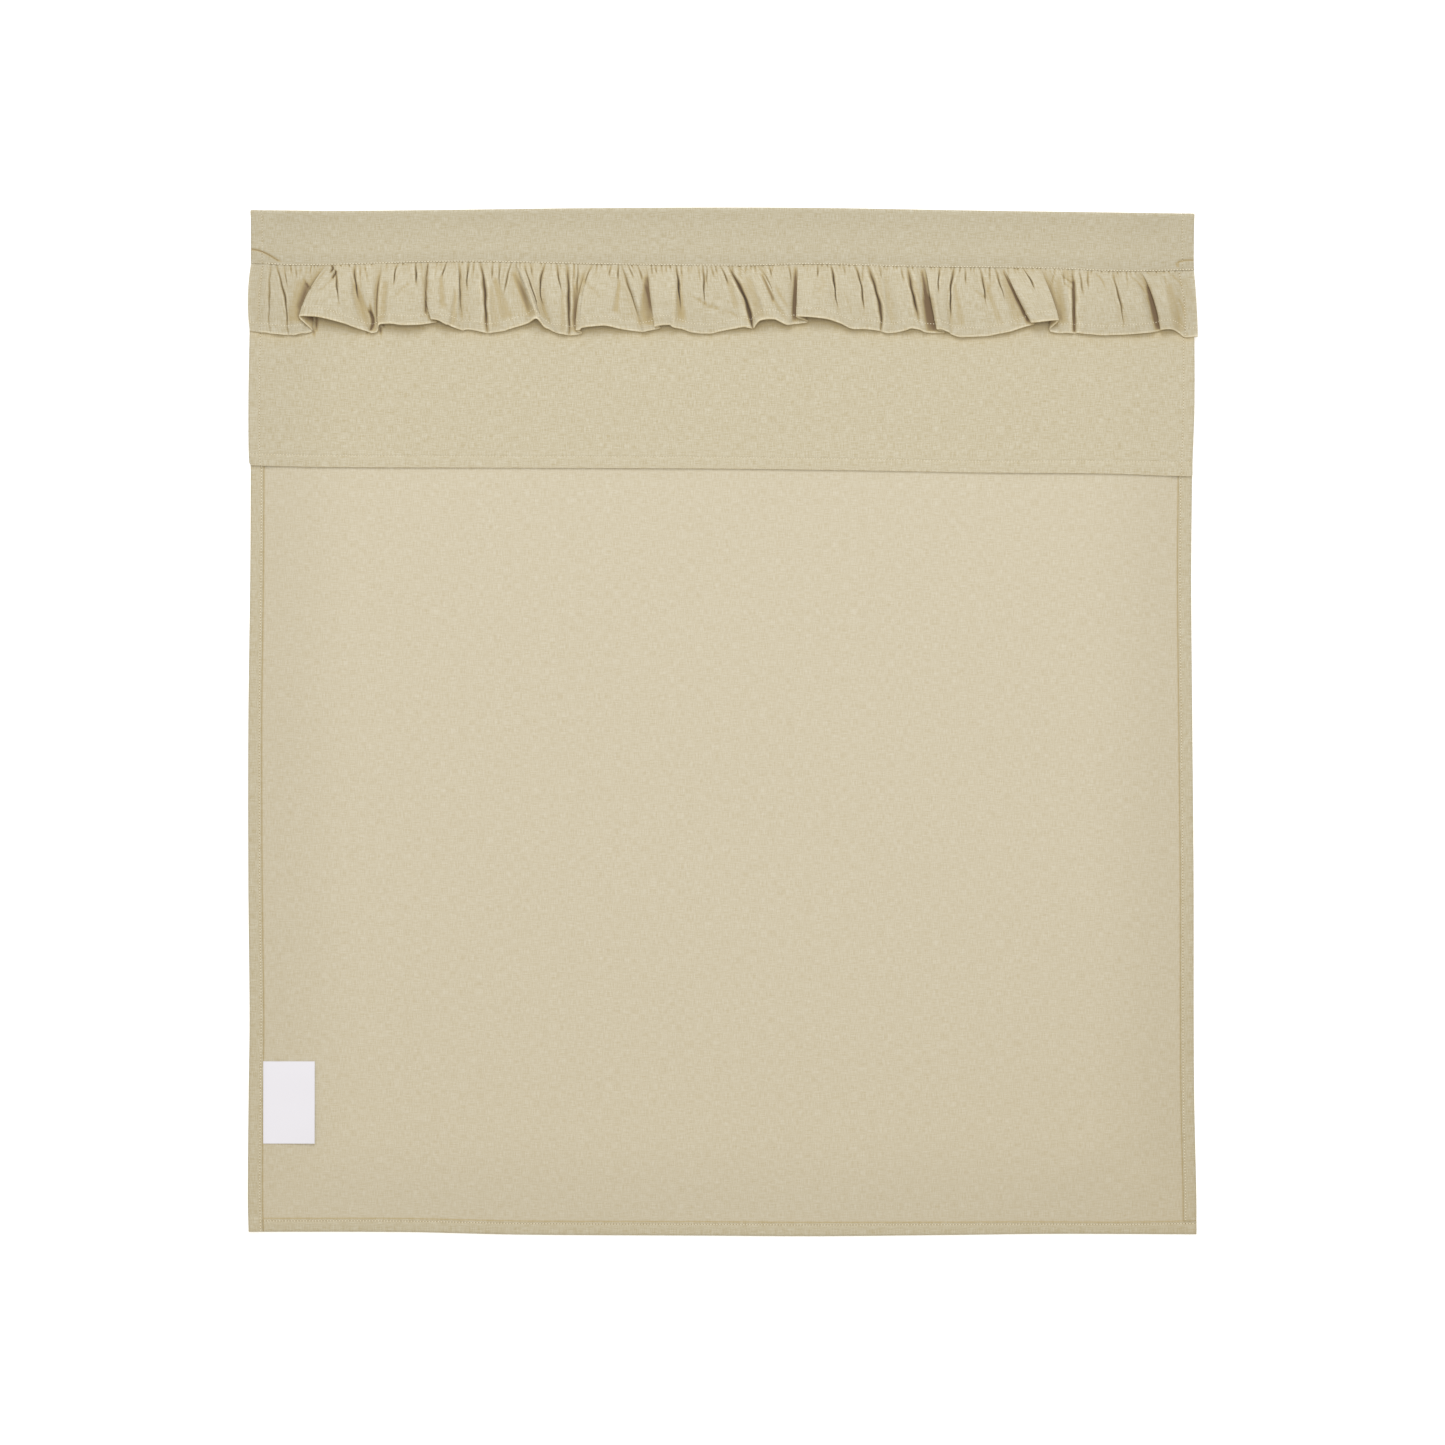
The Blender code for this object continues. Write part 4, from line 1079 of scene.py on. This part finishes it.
def ruffle_grid():
    """Middle surface of the ruffle, its thickness, cloth coordinates, painted shade, and tone with
    painted highlights.
    """
    runs = [hem_run(*pair) for pair in zip(RUFFLE_FOLDS, RUFFLE_FOLDS[1:])]
    knots = np.concatenate([[0.0], np.cumsum(np.sqrt(runs))])
    at, columns = ruffle_places(knots)
    seam_x, half_x, hem_x, drop, half_lift, hem_lift = [
        smooth(knots, [fold[column] for fold in RUFFLE_FOLDS], at) for column in range(1, 7)]
    start_lift = np.minimum(SEAM_PUFF, 0.6 * half_lift)
    share = [np.full_like(drop, value) for value in RUFFLE_ROWS]
    share = np.array(share + [1.0 - distance / drop for distance in RUFFLE_HEM_ROWS])
    x = halfway_curve(seam_x, half_x, hem_x, share)
    y = read(SEAM_LINE, seam_x) - drop * share
    lift = np.maximum(halfway_curve(start_lift, half_lift, hem_lift, share), 0.0)
    lengths = run_along(stack(x, y, lift))
    cut = np.zeros_like(lift)
    lip = np.zeros_like(lift)
    for section in crease_sections(x, share, lift, lengths, columns):
        cut = np.maximum(cut, section)
        lip = np.minimum(lip, section)
    side = np.minimum(x - RUFFLE_FOLDS[0][1], RUFFLE_FOLDS[-1][1] - x)
    pressed = ease(share / 0.3) * (np.arange(len(drop)) <= columns[1])
    rest = mix(RUFFLE_REST, RUFFLE_REST_AT_SIDES, past_hem(side, HEM_SLOPE))
    rest = mix(rest, RUFFLE_REST_PRESSED, pressed)
    shade = shaded_faces(x, y, SHADED_FACES)
    wrinkles = WRINKLE_RISE * crease_relief(x, y, RUFFLE_WRINKLES)
    z = rest + np.maximum(lift * (1.0 - SHADED_SINK * shade) - cut - lip + wrinkles, 0.0)

    above_hem = drop * (1.0 - share)
    rim = np.clip((1.4 - above_hem) / 0.7, 0.0, 1.0)
    under, edge_highlight = fold_shades(share, lengths, columns)
    # Painted shade in the cuts of creases, on shaded faces, in the troughs of wrinkles and where the
    # strip runs back under itself, but none on the rolled edge
    depth = np.maximum(np.clip(cut / 3.0, 0.0, 1.0), shade) + 0.4 * np.maximum(-wrinkles, 0.0)
    depth = np.maximum(depth, under) * (1.0 - rim)
    # Painted highlights on the lips of creases, on the rolled edge and on the outermost folds, and
    # painted shade beside the side hems
    tone = RUFFLE_TONE - RIDGE_HIGHLIGHT * lip + RIM_HIGHLIGHT * rim * (1.0 - pressed) \
        - SIDE_TONE * past_hem(side, TONE_STRIP) + edge_highlight
    plies = np.where(above_hem <= RUFFLE_HEM_ROWS[0], RUFFLE_HEM_PLY, RUFFLE_PLY)
    plies = np.where(np.abs(above_hem - RUFFLE_STITCH_LINE) < 0.1, 0.75 * RUFFLE_HEM_PLY, plies)
    plies = np.where(above_hem < 0.2, 0.7 * plies, plies)
    plies = mix(plies, 0.8 * RUFFLE_PLY, pressed)

    hidden = slice(len(HIDDEN_ROWS))
    above = np.array(HIDDEN_ROWS)[:, None]
    points = with_hidden(stack(x, y, z))
    points[hidden, :, 1] += above
    points[hidden, :, 2] = mix(z[0], rest[0] - 0.1, np.minimum(above / 2.5 + 0.1, 1.0))
    up_cloth = with_hidden(-drop * share)
    up_cloth[hidden] = above
    uvs = stack(0.5 * (lengths[0] + lengths[len(lengths) // 2]), up_cloth)
    return points, with_hidden(plies), uvs, with_hidden(depth), with_hidden(tone), columns


def ruffle_cloth(right_side):
    points, plies, uvs, depth, tone, columns = ruffle_grid()
    half = 0.5 * plies[:, :, None] * grid_normals(points)
    top = points + half
    fields = height_field(top)
    hollow = shelter(top, fields)
    # Painted highlight on crests, and painted shade where a point lies below the cloth around it
    tone = tone + CREST_HIGHLIGHT * np.clip(-hollow, 0.0, 1.0)
    depth = np.clip(0.7 * depth + 0.75 * np.maximum(hollow, 0.0), 0.0, 1.0)
    flat = np.zeros(points.shape[:2], int)
    under = points - half
    under[-1, :, 1] -= HEM_ROUND
    cloth = closed_cloth("ruffle_cloth", top, under, uvs, [right_side], flat, tone, depth,
                         RIM_SHELTER)
    return cloth, top, fields, columns


# Care label

def care_label_tape(tape):
    """The white tape whose left edge meets the side hem, with its free edge curled up a little."""
    left = float(read(BODY_SIDES, LABEL_TOP - LABEL_LENGTH / 2, 1)) + LABEL_FROM_EDGE
    across = np.linspace(0.0, 1.0, LABEL_COLUMNS)[None, :]
    down = np.linspace(0.0, 1.0, LABEL_ROWS)[:, None]
    lift = LABEL_CURL * across ** 3 * (0.35 + 0.65 * down)
    lift = lift + 0.12 * np.sin(3.0 * math.pi * down) * across
    z = BODY_TOP + LABEL_GAP + LABEL_PLY + lift - 0.25 * np.exp(-across * LABEL_WIDTH / 1.5)
    top = stack(left + LABEL_WIDTH * across, LABEL_TOP - LABEL_LENGTH * down, z)
    uvs = top[:, :, :2] - (left, LABEL_TOP)
    flat = np.zeros(z.shape, int)
    return closed_cloth("care_label_tape", top, top - (0.0, 0.0, LABEL_PLY), uvs, [tape],
                        flat, flat, flat)


# Stitches

def stitch_places(line, ups):
    """Centres, directions and up vectors of stitches at even steps along a line."""
    run = run_along(line)
    at = np.arange(STITCH_PITCH / 2, run[-1], STITCH_PITCH)

    def along_line(values, at):
        return stack(*[np.interp(at, run, values[:, axis]) for axis in range(3)])

    along = along_line(line, at + 0.3) - along_line(line, at - 0.3)
    return along_line(line, at), unit(along), unit(along_line(ups, at))


def beads(centres, along, up, length, width, height):
    """Small rounded bars: points and faces of all of them."""
    sideways = np.cross(up, along)
    points = []
    for place, size in BEAD_SECTIONS:
        for sway, rise in BEAD_CORNERS:
            points.append(centres + along * place * length + sideways * sway * size * width / 2
                          + up * rise * size * height / 2)
    corners = len(BEAD_CORNERS)
    count = len(points)
    template = [range(corners - 1, -1, -1), range(count - corners, count)]
    for first in range(0, count - corners, corners):
        for k in range(corners):
            a = first + k
            b = first + (k + 1) % corners
            template.append([a, b, b + corners, a + corners])
    faces = np.array(template)[None] + count * np.arange(len(centres))[:, None, None]
    return np.stack(points, axis=1).reshape(-1, 3), faces.reshape(-1, 4)


def stitches(name, lines, materials, holes=1.0, size=1.0):
    """Rows of stitches with a small dark bead between each two, painted shade of the needle hole, in
    one joined mesh.
    """
    parts = []
    count = 0
    for line, ups in lines:
        centres, along, up = stitch_places(line, ups)
        between = centres + along * STITCH_PITCH / 2 - up * 0.02
        bars = [(centres + up * 0.06, STITCH_LENGTH * size, STITCH_WIDTH * size, STITCH_HEIGHT),
                (between, HOLE_LENGTH, HOLE_WIDTH * holes, HOLE_HEIGHT)]
        for number, (places, *sizes) in enumerate(bars if holes else bars[:1]):
            points, faces = beads(places, along, up, *sizes)
            parts.append((points, faces + count, np.full(len(faces), number)))
            count += len(points)
    points, faces, numbers = [np.concatenate(values) for values in zip(*parts)]
    return placed(name, new_mesh(name, points, faces, materials, numbers))


def line_on(grid, place, side=1.0):
    """A row, a column or a part of one in a grid of surface points, with the normals there."""
    return grid[place], side * grid_normals(grid)[place]


# Materials

def new_material(name):
    """A new material, its node tree and its shader."""
    material = bpy.data.materials.new(name)
    material.use_nodes = True
    return material, material.node_tree, material.node_tree.nodes["Principled BSDF"]


def feed(tree, node, inputs):
    """Give inputs of a node their values, or join them to the outputs of other nodes."""
    for name, value in inputs.items():
        if isinstance(value, bpy.types.NodeSocket):
            tree.links.new(value, node.inputs[name])
        else:
            node.inputs[name].default_value = value


def new_node(tree, kind, inputs):
    node = tree.nodes.new("ShaderNode" + kind)
    feed(tree, node, inputs)
    return node


def colour(values, scale=1.0):
    return (*[linear(channel) * scale for channel in values], 1.0)


def shifted(base, contrast):
    """A darker yarn is browner and a lighter one is whiter than the cloth's mean colour."""
    return (*[linear(channel) * (1.0 + contrast * share)
              for channel, share in zip(base, (0.75, 1.0, 1.6))], 1.0)


def cloth_place(tree):
    node = new_node(tree, "UVMap", {})
    node.uv_map = "cloth"
    return node.outputs["UV"]


def attribute(tree, name):
    node = new_node(tree, "Attribute", {})
    node.attribute_name = name
    return node.outputs["Fac"]


def stretched_noise(tree, uv, along_u, along_v, detail):
    """Noise that runs in streaks: features per metre along u and along v."""
    mapping = new_node(tree, "Mapping", {"Scale": (along_u, along_v, 1.0), "Vector": uv})
    noise = new_node(tree, "TexNoise", {"Scale": 1.0, "Detail": detail,
                                        "Vector": mapping.outputs["Vector"]})
    return noise.outputs["Fac"]


def calculate(tree, operation, *values):
    node = new_node(tree, "Math", dict(enumerate(values)))
    node.operation = operation
    return node.outputs[0]


def ramp(tree, value, low, high, from_low, from_high):
    node = new_node(tree, "MapRange", {"From Min": from_low, "From Max": from_high,
                                       "To Min": low, "To Max": high, "Value": value})
    return node.outputs["Result"]


def mix_colour(tree, share, first, second):
    node = new_node(tree, "Mix", {})
    node.data_type = "RGBA"
    feed(tree, node, {"Factor": share, 6: first, 7: second})
    return node.outputs[2]


def bump(tree, height, strength, distance, **below):
    """Normal of a surface with that height, over the normal below where one is given."""
    inputs = {"Strength": strength, "Distance": distance, "Height": height, **below}
    return new_node(tree, "Bump", inputs).outputs["Normal"]


def weave_height(tree, uv):
    """Height of a plain weave, whose yarns lie at the weave's pitch."""
    split = new_node(tree, "SeparateXYZ", {"Vector": uv})
    waves = [calculate(tree, "SINE", calculate(tree, "MULTIPLY", split.outputs[axis],
                                               math.pi / (WEAVE_PITCH * MM)))
             for axis in ("X", "Y")]
    return calculate(tree, "ABSOLUTE", calculate(tree, "MULTIPLY", *waves))


def cotton_specks(tree, uv, share):
    """Small brown specks, in that share of the cells that could hold one."""
    cells = new_node(tree, "TexVoronoi", {"Scale": SPECK_CELLS, "Vector": uv})
    near = calculate(tree, "LESS_THAN", cells.outputs["Distance"], SPECK_RADIUS)
    pick = new_node(tree, "SeparateColor", {"Color": cells.outputs["Color"]})
    chosen = calculate(tree, "LESS_THAN", pick.outputs["Red"], share)
    return calculate(tree, "MULTIPLY", calculate(tree, "MULTIPLY", near, chosen), 0.5)


def cotton(name, base, contrast, speck_share):
    """Plain-woven cotton: slubs in both yarns, mottling and specks, with painted shade and highlights:
    ochre shade that turns brown in the deep creases.
    """
    material, tree, shader = new_material(name)
    uv = cloth_place(tree)
    weft, warp, grain, mottle, rumple = [stretched_noise(tree, uv, *row) for row in COTTON_NOISE]
    threads = calculate(tree, "ADD", calculate(tree, "ADD", weft, warp),
                        calculate(tree, "MULTIPLY", grain, 0.6))
    dark = shifted(base, -contrast)
    yarn = mix_colour(tree, ramp(tree, threads, 0.0, 1.0, 1.0, 1.6), dark, shifted(base, contrast))
    yarn = mix_colour(tree, ramp(tree, mottle, 0.0, 0.06, 0.3, 0.7), yarn, dark)
    yarn = mix_colour(tree, cotton_specks(tree, uv, speck_share), yarn, colour(SPECK_BROWN))
    # The tone attribute scales the colour: its own tone, painted shade and painted highlights. The
    # shelter attribute paints ochre shade, then brown in the deepest folds.
    toned = new_node(tree, "VectorMath", {0: yarn})
    toned.operation = "SCALE"
    feed(tree, toned, {"Scale": attribute(tree, "tone")})
    depth = attribute(tree, "shelter")
    yarn = mix_colour(tree, ramp(tree, depth, 0.0, 0.6, 0.0, 0.5), toned.outputs[0],
                      colour(SHADE_OCHRE))
    yarn = mix_colour(tree, ramp(tree, depth, 0.0, 1.0, 0.5, 1.0), yarn, colour(FOLD_SHADE_BROWN))
    height = calculate(tree, "ADD", weave_height(tree, uv),
                       calculate(tree, "MULTIPLY", threads, 0.8))
    woven = bump(tree, height, 0.55, 0.00012)
    feed(tree, shader, {"Base Color": yarn, "Normal": bump(tree, rumple, 0.6, 0.0004, Normal=woven),
                        "Roughness": ramp(tree, grain, 0.84, 0.96, 0.3, 0.7),
                        "Specular IOR Level": 0.25, "Sheen Weight": 0.08, "Sheen Roughness": 0.5})
    return material


def sewing_thread(name, base):
    """Twisted thread: a fine slanting ply along each stitch."""
    material, tree, shader = new_material(name)
    place = new_node(tree, "TexCoord", {}).outputs["Object"]
    wave = new_node(tree, "TexWave", {"Scale": 900.0, "Distortion": 1.0, "Vector": place})
    wave.bands_direction = "DIAGONAL"
    plies = wave.outputs["Fac"]
    feed(tree, shader, {"Base Color": mix_colour(tree, plies, colour(base, 0.9), colour(base, 1.05)),
                        "Normal": bump(tree, plies, 0.4, 0.0001), "Roughness": 0.7})
    return material


def satin_tape(name):
    """Blank white satin: fine floats across the tape and a soft gloss."""
    material, tree, shader = new_material(name)
    floats = stretched_noise(tree, cloth_place(tree), 400.0, 3200.0, 2.0)
    tone = mix_colour(tree, floats, colour(LABEL_WHITE, 0.97), colour(LABEL_WHITE, 1.02))
    feed(tree, shader, {"Base Color": tone, "Normal": bump(tree, floats, 0.3, 0.00008),
                        "Roughness": ramp(tree, floats, 0.42, 0.55, 0.3, 0.7),
                        "Sheen Weight": 0.1})
    return material


# Floor, light and camera

def floor():
    material, tree, shader = new_material("pale_floor")
    place = new_node(tree, "TexCoord", {}).outputs["Object"]
    noise = new_node(tree, "TexNoise", {"Scale": 3.0, "Vector": place}).outputs["Fac"]
    tone = mix_colour(tree, noise, colour(FLOOR_WHITE, 0.99), colour(FLOOR_WHITE))
    feed(tree, shader, {"Base Color": tone, "Roughness": 0.9, "Specular IOR Level": 0.1,
                        "Emission Color": (1.0, 1.0, 1.0, 1.0), "Emission Strength": 0.25})
    bpy.ops.mesh.primitive_plane_add(size=40.0, location=(0.0, 0.0, -0.0002))
    plane = bpy.context.object
    plane.name = "floor"
    plane.data.materials.append(material)


def studio():
    world = bpy.data.worlds.new("studio")
    world.use_nodes = True
    feed(world.node_tree, world.node_tree.nodes["Background"],
         {"Color": SKY_COLOUR, "Strength": SKY_STRENGTH})
    bpy.context.scene.world = world
    for name, x, y, z, size, power in LIGHTS:
        light = bpy.data.lights.new(name, "AREA")
        light.size = size
        light.energy = power
        light.color = LIGHT_COLOUR
        lamp = placed(name, light)
        lamp.location = (x, y, z)
        lamp.rotation_euler = (math.atan2(math.hypot(x, y), z), 0.0,
                               math.atan2(y, x) + math.pi / 2)
    bpy.context.scene.view_settings.view_transform = "Standard"


def camera():
    """Straight above the sheet, at the photograph's framing."""
    lens = bpy.data.cameras.new("camera")
    lens.sensor_width = 36.0
    lens.lens = CAMERA_LENS
    eye = placed("camera", lens)
    eye.location = CAMERA_PLACE
    bpy.context.scene.camera = eye


# The dressed sheet

def build():
    right_side = cotton("cotton_right_side", RIGHT_SIDE, 0.17, 0.12)
    wrong_side = cotton("cotton_wrong_side", WRONG_SIDE, 0.12, 0.1)
    # The second thread material paints the shade of the needle holes
    sewing = [sewing_thread("cream_thread", THREAD), sewing_thread("needle_hole_shade", HOLE_SHADE)]
    tape = satin_tape("white_satin_tape")

    panel, outer, inner = main_panel_cloth(right_side, wrong_side)
    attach(panel, "root")
    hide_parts("main_panel")

    strip, ruffle_top, fields, columns = ruffle_cloth(right_side)
    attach(strip, "root")
    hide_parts("ruffle")

    turn_back, turn_back_top = turn_back_cloth(right_side, fields)
    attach(turn_back, "root")
    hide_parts("turn_back_panel")

    label = care_label_tape(tape)
    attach(label, "root")
    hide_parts("care_label")

    left = HEM_STEPS.index(STITCH_LINE)
    right = -1 - left
    hem_end = HEM_STEPS.index(HEM_END)
    rows = main_panel_rows()
    kinds = [kind for kind, value in rows]
    body = inner[:kinds.index("fold")]
    band = outer[kinds.index("fold"):]
    body_lines = [line_on(body, np.s_[:, left], -1.0),
                  line_on(body[hem_end:], np.s_[:, right], -1.0),
                  line_on(body, np.s_[left, hem_end:-2], -1.0)]
    panel_stitches = stitches("main_panel_stitches", body_lines, sewing)
    band_lines = [line_on(band, np.s_[:, column]) for column in (left, right)]
    band_stitches = stitches("band_stitches", band_lines, sewing, holes=0.6, size=0.6)
    seam_line = line_on(outer, np.s_[rows.index(("sewn", SEAM_STITCH_LINE)), hem_end:])
    seam_stitches = stitches("seam_stitches", [seam_line], sewing, holes=0.55)
    side_lines = [line_on(turn_back_top, np.s_[:, column]) for column in (left, right)]
    turn_back_side = stitches("turn_back_side_stitches", side_lines, sewing, size=0.8)
    turn_back_hem = stitches("turn_back_hem_stitches", [line_on(turn_back_top, right)], sewing,
                             holes=0, size=0.62)
    ruffle_row = RUFFLE_HEM_ROWS.index(RUFFLE_STITCH_LINE) - len(RUFFLE_HEM_ROWS)
    ruffle_hem = stitches("ruffle_hem_stitches", [line_on(ruffle_top, ruffle_row)], sewing,
                          holes=0, size=0.8)
    shown = ruffle_top[len(HIDDEN_ROWS):]
    end_lines = [line_on(shown, np.s_[:, column]) for column in (columns[1], columns[-2])]
    ruffle_ends = stitches("ruffle_end_stitches", end_lines, sewing, size=0.8)
    sewn = {"cotton_wrong_side": [panel_stitches],
            "cotton_right_side": [band_stitches, seam_stitches, turn_back_side, turn_back_hem,
                                  ruffle_hem, ruffle_ends]}
    for slot, pieces in sewn.items():
        for piece in pieces:
            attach(piece, "root")


build()
floor()
studio()
camera()
bpy.context.view_layer.update()
